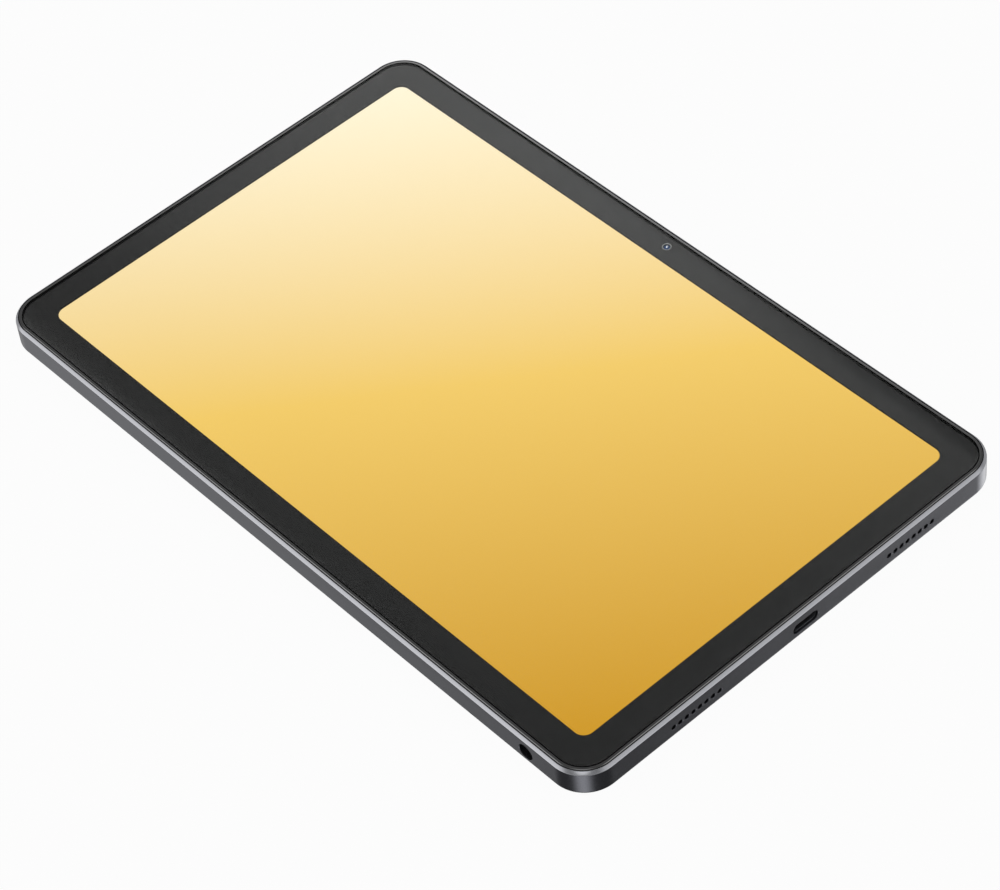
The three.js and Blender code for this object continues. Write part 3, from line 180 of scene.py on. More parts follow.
def colour_steps(tree, fraction, *stops):
    """A colour ramp through (position, hex colour) stops, read at fraction; its colour output."""
    ramp = add(tree, "ShaderNodeValToRGB", {0: fraction})
    line = ramp.color_ramp.elements
    while len(line) < len(stops):
        line.new(0.5)
    for element, (position, hex_colour) in zip(line, stops):
        element.position, element.color = position, linear(hex_colour)
    return ramp.outputs[0]


def grained(name, colours, roughness, grain_mm, grain_height_mm=0.0, stretch=(1, 1, 1), cloud_mm=18,
            **shader_values):
    """A finish whose grain, grain_mm across, stirs colour, roughness and height: fine noise picks
    between the two colours, slow noise cloud_mm across shades them, and both move the roughness.
    The noise stays near its middle, so its middle part is spread over the whole of each range."""
    material, tree, shader = blank_material(name, **shader_values)
    place = add(tree, "ShaderNodeTexCoord").outputs["Object"]
    laid = add(tree, "ShaderNodeMapping", {"Vector": place, "Scale": stretch}).outputs[0]
    fine, slow = ({"Vector": at, "Scale": 1000 / size, "Detail": detail}
                  for at, size, detail in ((laid, grain_mm, 2.0), (place, cloud_mm, 3.0)))
    grain = add(tree, "ShaderNodeTexNoise", fine).outputs[0]
    cloud = add(tree, "ShaderNodeTexNoise", slow).outputs[0]
    cloud_share, noise_low, noise_high = 0.35, 0.3, 0.7
    both = add(tree, "ShaderNodeMix", {0: cloud_share, 2: grain, 3: cloud}, data_type="FLOAT").outputs[0]
    colour = colour_steps(tree, both, (noise_low, colours[0]), (noise_high, colours[1]))
    tree.links.new(colour, shader.inputs["Base Color"])
    limits = {0: both, 1: noise_low, 2: noise_high, 3: roughness[0], 4: roughness[1]}
    rough = add(tree, "ShaderNodeMapRange", limits)
    tree.links.new(rough.outputs[0], shader.inputs["Roughness"])
    if grain_height_mm:
        relief = {"Height": grain, "Distance": grain_height_mm / 1000, "Strength": 1.0}
        bump = add(tree, "ShaderNodeBump", relief)
        tree.links.new(bump.outputs[0], shader.inputs["Normal"])
    return material


# Bead-blasted, dyed and sealed aluminium: the dye sits in a clear oxide skin over bright metal, so
# it reads as a soft dark metal. Blast pits are about 0.05 mm, drawn at 0.35 mm so that they show.
anodised = grained("blasted_anodised_aluminium", ("#5F6065", "#727379"), (0.29, 0.36), 0.35, 0.008,
                   Metallic=1.0)

# The diamond-cut chamfer is bare bright metal under a thin clear anodise: the cutter leaves fine
# lines along the edge, about 0.05 mm apart, drawn as soft long streaks.
diamond_cut = grained("diamond_cut_chamfer", ("#BCBDC2", "#C6C7CC"), (0.2, 0.26), 0.25, 0.0005,
                      (1, 1, 0.35), Metallic=1.0)

HALF_LENGTH, HALF_WIDTH, RIM_TOP = box_mm("rear_housing")[1]
CORNER = 10.7
REAR_EDGE = 0.6
WALL = 1.6
RECESS = 0.83
LEDGE = 6.2
FLOOR = 0.9
CHAMFER_WIDE, CHAMFER_HIGH = 0.7, 0.95
EASE = 0.05
BODY_LINE = outline(HALF_LENGTH, HALF_WIDTH, CORNER)

arc = np.linspace(0, np.pi / 2, 9)
rear_arc = np.stack([REAR_EDGE * (1 - np.sin(arc)), REAR_EDGE * (1 - np.cos(arc))], 1)
chamfer_foot = RIM_TOP - CHAMFER_HIGH
housing_profile = np.concatenate([
    rear_arc,
    [(0, 1.0), (0, chamfer_foot - 0.3), (0, chamfer_foot - EASE), (0.012, chamfer_foot - 0.01)],
    [(0.04, chamfer_foot + EASE), (0.19, chamfer_foot + 0.28), (0.41, chamfer_foot + 0.57)],
    [(CHAMFER_WIDE - 0.03, RIM_TOP - 0.03), (CHAMFER_WIDE, RIM_TOP)],
    [(RECESS - 0.02, RIM_TOP), (RECESS, RIM_TOP - 0.02), (RECESS, LEDGE)],
    [(WALL, LEDGE), (WALL, FLOOR + 0.3), (WALL + 0.09, FLOOR + 0.09), (WALL + 0.3, FLOOR)],
])
chamfer_row = len(rear_arc) + 4
housing = swept(BODY_LINE, housing_profile)
row_of_face = np.append(np.tile(np.arange(len(housing_profile) - 1), len(BODY_LINE[0])), [-1, -1])
bright = (row_of_face >= chamfer_row - 1) & (row_of_face <= chamfer_row + 4)
housing = mesh_object("housing_shell", housing, (anodised, diamond_cut), bright)


def opening(place, half_long, half_short, chamfer, steps=8):
    """A cutter for a drilled or slotted opening: its outline goes straight in, deeper than the wall,
    and spreads by the chamfer at the wall's face and on past it."""
    deep, past = 2.4, 0.4
    line = outline(half_long, half_short, half_short, steps)
    return swept(line, [(0, -deep), (0, -chamfer), (-chamfer - past, past)], place)


def plain_block(low, high, corner=0.5):
    """A cutter with square top and bottom and rounded upright corners, between two corner points."""
    low, high = np.array(low, float), np.array(high, float)
    half, middle = (high - low) / 2, (high + low) / 2
    place = facing((middle[0], middle[1], low[2]), (0, 0, 1))
    return swept(outline(half[0], half[1], corner, 6), [(0, 0), (0, 2 * half[2])], place)


RIGHT, LEFT, FRONT, BACK, UP, DOWN = (1, 0, 0), (-1, 0, 0), (0, -1, 0), (0, 1, 0), (0, 0, 1), (0, 0, -1)
GRILLE_PITCH, GRILLE_HOLES, GRILLE_RADIUS, GRILLE_Z = 2.38, 8, 0.83, 3.4
PORT_Z = 3.4
USB_Y, USB_HALF_LONG, USB_HALF_HIGH = 2.0, 4.57, 1.68
JACK_X, JACK_OPENING, PORT_CHAMFER = 102.3, 2.55, 0.1
KEY_CLEARANCE, SLIP_CLEARANCE = 0.14, 0.1
MIC_RADIUS, MIC_Z = 0.45, 3.8
EDGE_BREAK = 0.1
openings = []
for mesh_node in ("speaker_mesh_1", "speaker_mesh_2", "speaker_mesh_3", "speaker_mesh_4"):
    mesh_low, mesh_high = box_mm(mesh_node)
    side = RIGHT if mesh_low[0] > 0 else LEFT
    middle = (mesh_low[1] + mesh_high[1]) / 2
    for step in range(GRILLE_HOLES):
        y = middle + (step - (GRILLE_HOLES - 1) / 2) * GRILLE_PITCH
        spot = facing((side[0] * HALF_LENGTH, y, GRILLE_Z), side)
        openings.append(opening(spot, GRILLE_RADIUS, GRILLE_RADIUS, 0.15, steps=6))
usb_spot = facing((HALF_LENGTH, USB_Y, PORT_Z), RIGHT)
jack_spot = facing((JACK_X, -HALF_WIDTH, PORT_Z), FRONT)
usb_half = USB_HALF_LONG + SLIP_CLEARANCE, USB_HALF_HIGH + SLIP_CLEARANCE
openings.append(opening(usb_spot, *usb_half, PORT_CHAMFER))
openings.append(opening(jack_spot, JACK_OPENING, JACK_OPENING, PORT_CHAMFER))

POWER_LOW, POWER_HIGH = box_mm("power_button")
VOLUME_LOW, VOLUME_HIGH = box_mm("volume_key")
KEY_HALF_HIGH = 1.1
POWER_HALF_LONG, VOLUME_HALF_LONG = 5.0, 9.5
POWER_Y = (POWER_LOW[1] + POWER_HIGH[1]) / 2
KEY_Z = (POWER_LOW[2] + POWER_HIGH[2]) / 2
VOLUME_X = (VOLUME_LOW[0] + VOLUME_HIGH[0]) / 2
power_spot = facing((-HALF_LENGTH, POWER_Y, KEY_Z), LEFT)
volume_spot = facing((VOLUME_X, HALF_WIDTH, KEY_Z), BACK)
for spot, half_long in ((power_spot, POWER_HALF_LONG), (volume_spot, VOLUME_HALF_LONG)):
    openings.append(opening(spot, half_long + KEY_CLEARANCE, KEY_HALF_HIGH + KEY_CLEARANCE, EDGE_BREAK))

TRAY_LOW, TRAY_HIGH = box_mm("card_tray")
DOOR_HALF_LONG, DOOR_HALF_HIGH = (TRAY_HIGH[0] - TRAY_LOW[0]) / 2, (TRAY_HIGH[2] - TRAY_LOW[2]) / 2
DOOR_X, DOOR_Z = (TRAY_LOW[0] + TRAY_HIGH[0]) / 2, (TRAY_LOW[2] + TRAY_HIGH[2]) / 2
door_spot = facing((DOOR_X, HALF_WIDTH, DOOR_Z), BACK)
openings.append(opening(door_spot, DOOR_HALF_LONG + SLIP_CLEARANCE, DOOR_HALF_HIGH + SLIP_CLEARANCE, EASE))
for mic_node in ("microphone_1", "microphone_2"):
    mic_low, mic_high = box_mm(mic_node)
    spot = facing(((mic_low[0] + mic_high[0]) / 2, HALF_WIDTH, MIC_Z), BACK)
    openings.append(opening(spot, MIC_RADIUS, MIC_RADIUS, EDGE_BREAK, steps=6))

RING_LOW, RING_HIGH = box_mm("rear_camera_ring")
FLASH_LOW, FLASH_HIGH = box_mm("flash_lens")
CAMERA_X, CAMERA_Y = (RING_LOW + RING_HIGH)[:2] / 2
FLASH_X, FLASH_Y = (FLASH_LOW + FLASH_HIGH)[:2] / 2
RING_RADIUS, FLASH_RADIUS = (RING_HIGH - RING_LOW)[0] / 2, (FLASH_HIGH - FLASH_LOW)[0] / 2
camera_spot = facing((CAMERA_X, CAMERA_Y, 0), DOWN)
flash_spot = facing((FLASH_X, FLASH_Y, 0), DOWN)
for spot, radius, steps in ((camera_spot, RING_RADIUS, 14), (flash_spot, FLASH_RADIUS, 12)):
    openings.append(opening(spot, radius + SLIP_CLEARANCE, radius + SLIP_CLEARANCE, 0.02, steps))

COVER_LOW, COVER_HIGH = box_mm("antenna_cover")
SEAM = 0.1
room_low = (COVER_LOW[0] - SEAM, COVER_LOW[1] - SEAM, -2)
room_right = COVER_HIGH[0] + SEAM
lip_low = (room_low[0], HALF_WIDTH - WALL - SEAM, 1.0)
lip_high = (room_right, HALF_WIDTH + 2.5, COVER_HIGH[2] + SEAM)
cut(housing, joined(*openings))
cut(housing, plain_block(room_low, (room_right, HALF_WIDTH + 3, 1.3), 0.3))
cut(housing, plain_block(lip_low, lip_high, 0.2))
finish_piece(housing, "tablet", "anodised_aluminium", "rear_housing", crisp=25)


# ---------------------------------------------------------------------------------------------
# Antenna cover: the aluminium would shut in radio waves, so a strip of the back and of one long
# side is moulded PC, painted in the housing's grey, and snapped and glued into its own room.

# Painted PC: the paint copies the metal's colour, with a softer, duller gloss and a fine orange peel.
painted_plastic = grained("painted_polycarbonate", ("#5A5B61", "#606167"), (0.42, 0.5), 0.8, 0.004,
                          Metallic=0.55)

FACE_THICK = 1.2


def extruded(section, start, end):
    """A section of (Y, Z) points, anticlockwise seen from +X, carried straight along X and capped."""
    section = np.array(section, float)
    n = len(section)
    rows = [np.column_stack([np.full(n, x), section]) for x in (start, end)]
    i = np.arange(n)
    sides = np.stack([i, (i + 1) % n, (i + 1) % n + n, i + n], 1)[:, ::-1].tolist()
    return np.concatenate(rows), sides + [i.tolist(), (i[::-1] + n).tolist()]


cover_arc = np.stack([HALF_WIDTH - REAR_EDGE * (1 - np.sin(arc)), REAR_EDGE * (1 - np.cos(arc))], 1)
cover_section = np.concatenate([
    [(COVER_LOW[1], EASE), (COVER_LOW[1] + EASE, 0)],
    cover_arc,
    [(HALF_WIDTH, COVER_HIGH[2] - EASE), (HALF_WIDTH - EASE, COVER_HIGH[2])],
    [(HALF_WIDTH - WALL, COVER_HIGH[2]), (HALF_WIDTH - WALL, FACE_THICK), (COVER_LOW[1], FACE_THICK)],
])
cover = extruded(cover_section, COVER_LOW[0], COVER_HIGH[0])
cover = mesh_object("antenna_cover_skin", cover, (painted_plastic,))
finish_piece(cover, "tablet", "antenna_plastic", "antenna_cover")


# ---------------------------------------------------------------------------------------------
# Bezel ring: a black moulded PC frame glued on the housing's ledge. It carries the cover glass and
# shows as a thin crowned lip between the glass and the chamfer.

# Moulded PC off a polished tool, hard coated: black, with a soft bright line along its crown.
glossy_black = grained("hard_coated_black_polycarbonate", ("#131314", "#171718"), (0.16, 0.22), 0.4, 0.0005,
                       IOR=1.59, Specular_IOR_Level=1.0, Coat_Weight=1.0, Coat_Roughness=0.12)

# Moulded PC off a lightly sparked tool: satin black with a fine, soft grain.
moulded_black = grained("moulded_black_polycarbonate", ("#161617", "#1B1B1D"), (0.3, 0.36), 0.4, 0.001,
                        IOR=1.59)

# Painted shade: matt near black on the glass's edge and on the ring's outer shoulder and inner edge,
# so that the thin lines round the pane read as dark as shade down a gap.
gap_shade_black = grained("painted_gap_shade", ("#020202", "#040404"), (0.6, 0.7), 0.3, Specular_IOR_Level=0.15)

LIP_LOW, LIP_HIGH = box_mm("bezel_ring")
RING_GAP = 0.1
RING_INSET = HALF_LENGTH - LIP_HIGH[0] + RING_GAP
CROWN_WIDE, CROWN_HIGH = 0.575, 0.33
LIP_INSIDE, FLANGE_INSIDE, FLANGE_TOP = 2.02, 4.58, 7.7
crown = np.linspace(0, np.pi / 2, 11)
ring_profile = np.concatenate([
    [(RING_INSET + 0.02, LIP_LOW[2]), (RING_INSET, LIP_LOW[2] + 0.02)],
    np.stack([RING_INSET + CROWN_WIDE * (1 - np.cos(crown)),
              LIP_HIGH[2] - CROWN_HIGH * (1 - np.sin(crown))], 1),
    [(LIP_INSIDE - 0.05, LIP_HIGH[2]), (LIP_INSIDE, LIP_HIGH[2] - 0.05), (LIP_INSIDE, FLANGE_TOP)],
    [(FLANGE_INSIDE, FLANGE_TOP), (FLANGE_INSIDE, LIP_LOW[2])],
])
# The outer side, the crown's outer shoulder and the inner edge down to the flange take the painted shade, so
# a dark line runs each side of the crown; the rest of the crown is glossy black.
row_of_face = np.tile(np.arange(len(ring_profile)), len(BODY_LINE[0]))
CROWN_ROWS_SHADED = 5
shaded_rows = (row_of_face < CROWN_ROWS_SHADED) | (row_of_face >= len(crown) + 2)
lip = mesh_object("bezel_lip", swept(BODY_LINE, ring_profile, ring=True), (glossy_black, gap_shade_black), shaded_rows)
EYE_LOW, EYE_HIGH = box_mm("front_camera")
EYE_X, EYE_Y = (EYE_LOW + EYE_HIGH)[:2] / 2
NOTCH_BOTTOM, NOTCH_TOP = 5.0, 7.85
notch_low = (*(EYE_LOW[:2] - SLIP_CLEARANCE), NOTCH_BOTTOM)
notch_high = (*(EYE_HIGH[:2] + SLIP_CLEARANCE), NOTCH_TOP)
cut(lip, plain_block(notch_low, notch_high, 0.3))
finish_piece(lip, "tablet", "black_plastic", "bezel_ring", crisp=28)


# ---------------------------------------------------------------------------------------------
# Cover glass: chemically strengthened aluminosilicate, 0.7 mm thick, its edge ground to a small
# round, which is painted near black as painted shade for the dark line round the pane. Black ink is
# screen printed on its back, with a clear window for the display and one for the front camera.

# Strengthened glass under an anti-reflection coating: clear and polished. Bare glass has an IOR of
# 1.5, and the coating cuts its mirror to about a fifth, as a lower IOR does.
glass, _, _ = blank_material("coated_strengthened_glass", Transmission_Weight=1.0, Roughness=0.0, IOR=1.2)
glass.node_tree.nodes["Principled BSDF"].inputs["Base Color"].default_value = linear("#FBFCFB")

GLASS_LOW, GLASS_HIGH = box_mm("cover_glass")
GLASS_GAP, GLASS_EDGE = 0.05, 0.05
GLASS_INSET = HALF_LENGTH - GLASS_HIGH[0] + GLASS_GAP
edge = np.linspace(0, np.pi / 2, 6)
glass_profile = np.concatenate([
    [(GLASS_INSET + 0.08, GLASS_LOW[2]), (GLASS_INSET, GLASS_LOW[2] + 0.08)],
    np.stack([GLASS_INSET + GLASS_EDGE * (1 - np.cos(edge)),
              GLASS_HIGH[2] - GLASS_EDGE * (1 - np.sin(edge))], 1),
])
# Every face but the two broad ones, the ground edge and its sides, takes the painted shade.
shaded_glass_edge = np.append(np.ones((len(glass_profile) - 1) * len(BODY_LINE[0])), [0, 0])
pane = mesh_object("glass_pane", swept(BODY_LINE, glass_profile), (glass, gap_shade_black), shaded_glass_edge)
finish_piece(pane, "tablet", "cover_glass", "cover_glass")

# Screen ink: black, two coats cured hard against the glass, so it shines a little like the glass.
ink_black = grained("screen_printed_ink", ("#0D0D0E", "#0F0F10"), (0.115, 0.115), 0.3, IOR=1.7)

LIT_HALF_LONG, LIT_HALF_SHORT, LIT_CORNER, INK_MARGIN = 112.8, 67.7, 3.2, 0.25
INK_TOP, INK_BOTTOM = GLASS_LOW[2] - 0.005, GLASS_LOW[2] - 0.035
INK_OUTSIDE = GLASS_INSET + 0.05
EYE_WINDOW = 1.4


def between(outer, inner, bottom, top):
    """A flat band of even thickness between two outlines with the same number of points: the rows
    run outer bottom, outer top, inner top and inner bottom, and close."""
    rows = [np.column_stack([line, np.full(len(line), z)])
            for line, z in ((outer, bottom), (outer, top), (inner, top), (inner, bottom))]
    vertices = np.stack(rows, 1).reshape(-1, 3)
    around = len(outer)
    u, v = np.meshgrid(np.arange(around), np.arange(4), indexing="ij")
    corner = [a % around * 4 + b % 4 for a, b in ((u, v), (u + 1, v), (u + 1, v + 1), (u, v + 1))]
    return vertices, np.stack(corner, -1).reshape(-1, 4).tolist()


ink_outer = BODY_LINE[0] - INK_OUTSIDE * BODY_LINE[1]
ink_window = outline(LIT_HALF_LONG + INK_MARGIN, LIT_HALF_SHORT + INK_MARGIN, LIT_CORNER + INK_MARGIN)[0]
ink = mesh_object("ink_border", between(ink_outer, ink_window, INK_BOTTOM, INK_TOP), (ink_black,))
cut(ink, swept(disc(EYE_WINDOW, 12), [(0, -1), (0, 1)], facing((EYE_X, EYE_Y, INK_TOP), UP)))
finish_piece(ink, "tablet", "black_plastic")


# ---------------------------------------------------------------------------------------------
# Display: a liquid-crystal cell bonded behind the glass. Its edge is black, and inside that the
# lit area shows a generic picture: one straight blend of colour from cream to gold.

PANEL_LOW, PANEL_HIGH = box_mm("display_panel")
PANEL_TOP = PANEL_HIGH[2]

# A lit liquid-crystal display under its polariser: black when off, so the whole colour is light.
# The picture is read by the distance along one diagonal, counted from the middle of the screen.
lit, tree, shader = blank_material("lit_display", Roughness=0.4, Specular_IOR_Level=0.1,
                                   Emission_Strength=1.05)
shader.inputs["Base Color"].default_value = linear("#050505")
place = add(tree, "ShaderNodeTexCoord").outputs["Object"]
BLEND_TOWARDS, BLEND_HALF_MM = (0.8, -0.6, 0.0), 130.0
along = add(tree, "ShaderNodeVectorMath", {0: place, 1: BLEND_TOWARDS}, operation="DOT_PRODUCT")
limits = {0: along.outputs["Value"], 1: -BLEND_HALF_MM / 1000, 2: BLEND_HALF_MM / 1000}
blend = add(tree, "ShaderNodeMapRange", limits).outputs[0]
picture = colour_steps(tree, blend, (0.0, "#FFF4D6"), (0.5, "#F3CB68"), (1.0, "#CF9826"))
tree.links.new(picture, shader.inputs["Emission Color"])

# The cell's dead border: black matrix under the same polariser, a deep satin black.
cell_border = grained("black_cell_border", ("#060607", "#09090A"), (0.3, 0.36), 0.5)

cell_middle, cell_half = (PANEL_LOW + PANEL_HIGH) / 2, (PANEL_HIGH - PANEL_LOW) / 2
cell_line = outline(cell_half[0], cell_half[1], 1.5)
cell_line = (cell_line[0] + cell_middle[:2], cell_line[1])
cell = swept(cell_line, [
    (0.02, PANEL_LOW[2]), (0, PANEL_LOW[2] + 0.02), (0, PANEL_TOP - 0.08), (0.02, PANEL_TOP - 0.06),
])
lit_line = outline(LIT_HALF_LONG, LIT_HALF_SHORT, LIT_CORNER)
lit_sheet = swept(lit_line, [(0.0, PANEL_TOP - 0.05), (0, PANEL_TOP - 0.005), (0.01, PANEL_TOP)])
is_lit = [0] * len(cell[1]) + [1] * len(lit_sheet[1])
display = mesh_object("display_cell", joined(cell, lit_sheet), (cell_border, lit), is_lit)
finish_piece(display, "tablet", "display_panel", "display_panel")


# ---------------------------------------------------------------------------------------------
# Front camera: a tiny module in a notch of the bezel ring, on the long side across from the jack.
# Through its window in the ink one sees a pale locating ring, a dark cone and a coated lens.

# Lens barrel: black glass-filled PC, sand-textured so that it throws no stray light.
barrel_black = grained("matt_lens_barrel", ("#0B0B0C", "#121213"), (0.5, 0.6), 0.15, 0.002)

# Coated lens: polished glass over a dark tube; the anti-reflection coating leaves a navy cast.
# The light that the glass in front lets in is too faint to trace, so the lenses of both cameras, the
# ring and the glints glow a little instead.
coated_lens = grained("coated_camera_lens", ("#0A1B38", "#1A3D6E"), (0.03, 0.06), 1.2, cloud_mm=2, IOR=1.7,
                      Emission_Color=(0.02, 0.06, 0.15, 1), Emission_Strength=0.6)

# Locating ring: pale grey moulded acetal, satin, just under the glass. Its glow is painted light.
ring_acetal = grained("pale_moulded_acetal", ("#B9BCC0", "#C6C9CC"), (0.35, 0.45), 0.2, 0.001,
                      Emission_Strength=0.16)

# Glints: painted reflections, small pale discs that glow, set where the inner elements would throw
# back images of the window.
inner_glint = grained("pale_lens_reflection", ("#F2F6FA", "#FFFFFF"), (0.2, 0.25), 0.3, Emission_Strength=0.9)

barrel_low, barrel_high = box_mm("front_camera_barrel")
EYE_RADIUS = (barrel_high - barrel_low)[0] / 2
EYE_BOTTOM, EYE_TOP = barrel_low[2], barrel_high[2]
EYE_RING_OUTSIDE, EYE_RING_INSIDE, EYE_RING_THICK = 1.36, 1.17, 0.04
EYE_LENS_RADIUS, EYE_LENS_SINK, EYE_LENS_RISE = 0.86, 0.3, 0.16
GLINT_FOOT, GLINT_FACE = 0.2, 0.125
bend = np.linspace(0, np.pi / 2, 7)


def dome(radius, foot, rise):
    """Profile rows of a low dome on a disc: the inset is 0.97 x radius x (1 - cos t), which leaves a
    small flat in the middle, and the height is rise x sin t."""
    return [(radius * (1 - np.cos(t)) * 0.97, foot + rise * np.sin(t)) for t in bend]


eye_spot = facing((EYE_X, EYE_Y, 0), UP)
eye_face = EYE_TOP - EYE_RING_THICK
eye_barrel = swept(disc(EYE_RADIUS, 12), [
    (0.05, EYE_BOTTOM), (0, EYE_BOTTOM + 0.05), (0, EYE_TOP - 0.12), (0.08, eye_face), (0.5, eye_face),
    (0.78, EYE_TOP - 0.2), (0.8, EYE_TOP - 0.3), (1.0, EYE_TOP - 0.32),
], eye_spot)
ring_outer, ring_inner = (disc(radius, 12)[0] + [EYE_X, EYE_Y]
                          for radius in (EYE_RING_OUTSIDE, EYE_RING_INSIDE))
eye_ring = between(ring_outer, ring_inner, eye_face, EYE_TOP)
eye_lens = swept(disc(EYE_LENS_RADIUS, 12), [
    (0, EYE_TOP - EYE_LENS_SINK - 0.03), *dome(EYE_LENS_RADIUS, EYE_TOP - EYE_LENS_SINK, EYE_LENS_RISE),
], eye_spot)
GLINTS = ((0.05, -0.1, 0.18), (-0.26, 0.26, 0.12))
glint_profile = [(0, EYE_TOP - GLINT_FOOT), (0, EYE_TOP - GLINT_FACE)]
glint_discs = [swept(disc(size, 6), glint_profile, facing((EYE_X + x, EYE_Y + y, 0), UP))
               for x, y, size in GLINTS]
parts = (eye_barrel, eye_ring, eye_lens, joined(*glint_discs))
which = [n for n, part in enumerate(parts) for _ in part[1]]
eye_finishes = (barrel_black, ring_acetal, coated_lens, inner_glint)
eye = mesh_object("front_camera_eye", joined(*parts), eye_finishes, which)
finish_piece(eye, "tablet", "lens_glass", "front_camera_barrel")


# ---------------------------------------------------------------------------------------------
# Rear camera: a turned aluminium ring pressed flush into the back, a window glued in it over a
# black mask, and a lens barrel that a voice coil lifts and lowers to focus.

# Turned aluminium, anodised to match: the lathe leaves fine rings that spread the light in a fan.
turned_ring = grained("turned_anodised_ring", ("#4A4B50", "#54555A"), (0.22, 0.32), 0.3, 0.002, Metallic=1.0)

# Camera window: hardened glass, clear and flat.
window_glass, _, _ = blank_material("camera_window_glass", Transmission_Weight=1.0, Roughness=0.0, IOR=1.52)
window_glass.node_tree.nodes["Principled BSDF"].inputs["Base Color"].default_value = linear("#E9EFF2")

BORE_WALL = RING_RADIUS - 3.3
ring_shape = swept(disc(RING_RADIUS, 20), [
    (0, -RING_HIGH[2]), (0, -0.08), (0.025, -0.02), (0.08, 0), (0.22, 0), (0.24, -0.03),
    (BORE_WALL - 0.02, -0.24), (BORE_WALL, -0.28), (BORE_WALL, -RING_HIGH[2]),
], camera_spot, ring=True)
camera_ring = mesh_object("camera_ring", ring_shape, (turned_ring,))
finish_piece(camera_ring, "tablet", "anodised_aluminium", "rear_camera_ring")

PANE_LOW, PANE_HIGH = box_mm("rear_camera_window")
PANE_RADIUS = (PANE_HIGH - PANE_LOW)[0] / 2
pane_foot, pane_face = -PANE_HIGH[2], -PANE_LOW[2]
pane_shape = swept(disc(PANE_RADIUS, 16), [
    (0.03, pane_foot), (0, pane_foot + 0.03), (0, pane_face - 0.06), (0.06, pane_face),
], camera_spot)
camera_pane = mesh_object("camera_window", pane_shape, (window_glass,))
finish_piece(camera_pane, "tablet", "lens_glass", "rear_camera_window")
MASK_RADIUS, MASK_HOLE = PANE_RADIUS - 0.05, 2.0
mask_wide, mask_top = MASK_RADIUS - MASK_HOLE, PANE_HIGH[2] + 0.045
mask = swept(disc(MASK_RADIUS, 16), [
    (0, -mask_top), (0, pane_foot - 0.01), (mask_wide, pane_foot - 0.01), (mask_wide, -mask_top),
], camera_spot, ring=True)
mask = mesh_object("camera_mask", mask, (ink_black,))
finish_piece(mask, "tablet", "black_plastic")

FOCUS_LOW, FOCUS_HIGH = box_mm("rear_camera_barrel")
FOCUS_RADIUS = (FOCUS_HIGH - FOCUS_LOW)[0] / 2
focus_foot, focus_face = -FOCUS_HIGH[2], -FOCUS_LOW[2]
FOCUS_LENS_RADIUS, FOCUS_LENS_SINK, FOCUS_LENS_RISE = 1.47, 0.45, 0.34
focus_shape = swept(disc(FOCUS_RADIUS, 16), [
    (0.05, focus_foot), (0, focus_foot + 0.05), (0, focus_face - 0.1), (0.1, focus_face),
    (0.6, focus_face), (0.62, focus_face - 0.1), (0.95, focus_face - 0.12), (0.97, focus_face - 0.24),
    (1.3, focus_face - 0.27), (1.32, focus_face - 0.45),
], camera_spot)
focus_lens = swept(disc(FOCUS_LENS_RADIUS, 16), [
    (0, focus_face - FOCUS_LENS_SINK - 0.05),
    *dome(FOCUS_LENS_RADIUS, focus_face - FOCUS_LENS_SINK, FOCUS_LENS_RISE),
], camera_spot)
which = [0] * len(focus_shape[1]) + [1] * len(focus_lens[1])
focus = mesh_object("focus_barrel_lens", joined(focus_shape, focus_lens), (barrel_black, coated_lens), which)
finish_piece(focus, "focus_barrel", "lens_glass", "rear_camera_barrel")


# ---------------------------------------------------------------------------------------------
# Flash: a small moulded lens over two LEDs, set flush beside the camera. Its face is cut in rings
# that spread the light, and the yellow of the LEDs' phosphor shows through.

# Moulded PMMA over yellow phosphor: glossy, warm, paler between the rings.
flash_plastic = grained("moulded_flash_lens", ("#D8CFA0", "#F1ECD2"), (0.12, 0.22), 0.5, 0.004, cloud_mm=1.4)

FLASH_TOP, FLASH_RINGS, FLASH_BORDER = FLASH_HIGH[2], 5, 0.25
CREST_SINK, VALLEY_SINK = 0.03, 0.12
steps = np.arange(FLASH_RINGS)
ring_width = (FLASH_RADIUS - FLASH_BORDER) / FLASH_RINGS
fresnel = np.stack([
    FLASH_BORDER + steps * ring_width, np.full(FLASH_RINGS, -CREST_SINK),
    FLASH_BORDER + (steps + 0.85) * ring_width, np.full(FLASH_RINGS, -VALLEY_SINK),
], 1).reshape(-1, 2)
flash_shape = swept(disc(FLASH_RADIUS, 12), [
    (0.03, -FLASH_TOP), (0, -FLASH_TOP + 0.03), (0, -0.05), (0.05, 0), (0.22, 0), *fresnel,
], flash_spot)
flash = mesh_object("flash_window", flash_shape, (flash_plastic,))
finish_piece(flash, "tablet", "flash_diffuser", "flash_lens")


# ---------------------------------------------------------------------------------------------
# Keys: two anodised aluminium bars, each with a flange that holds it in behind its slot. The power
# key is pressed straight in; the volume key rocks on its middle.

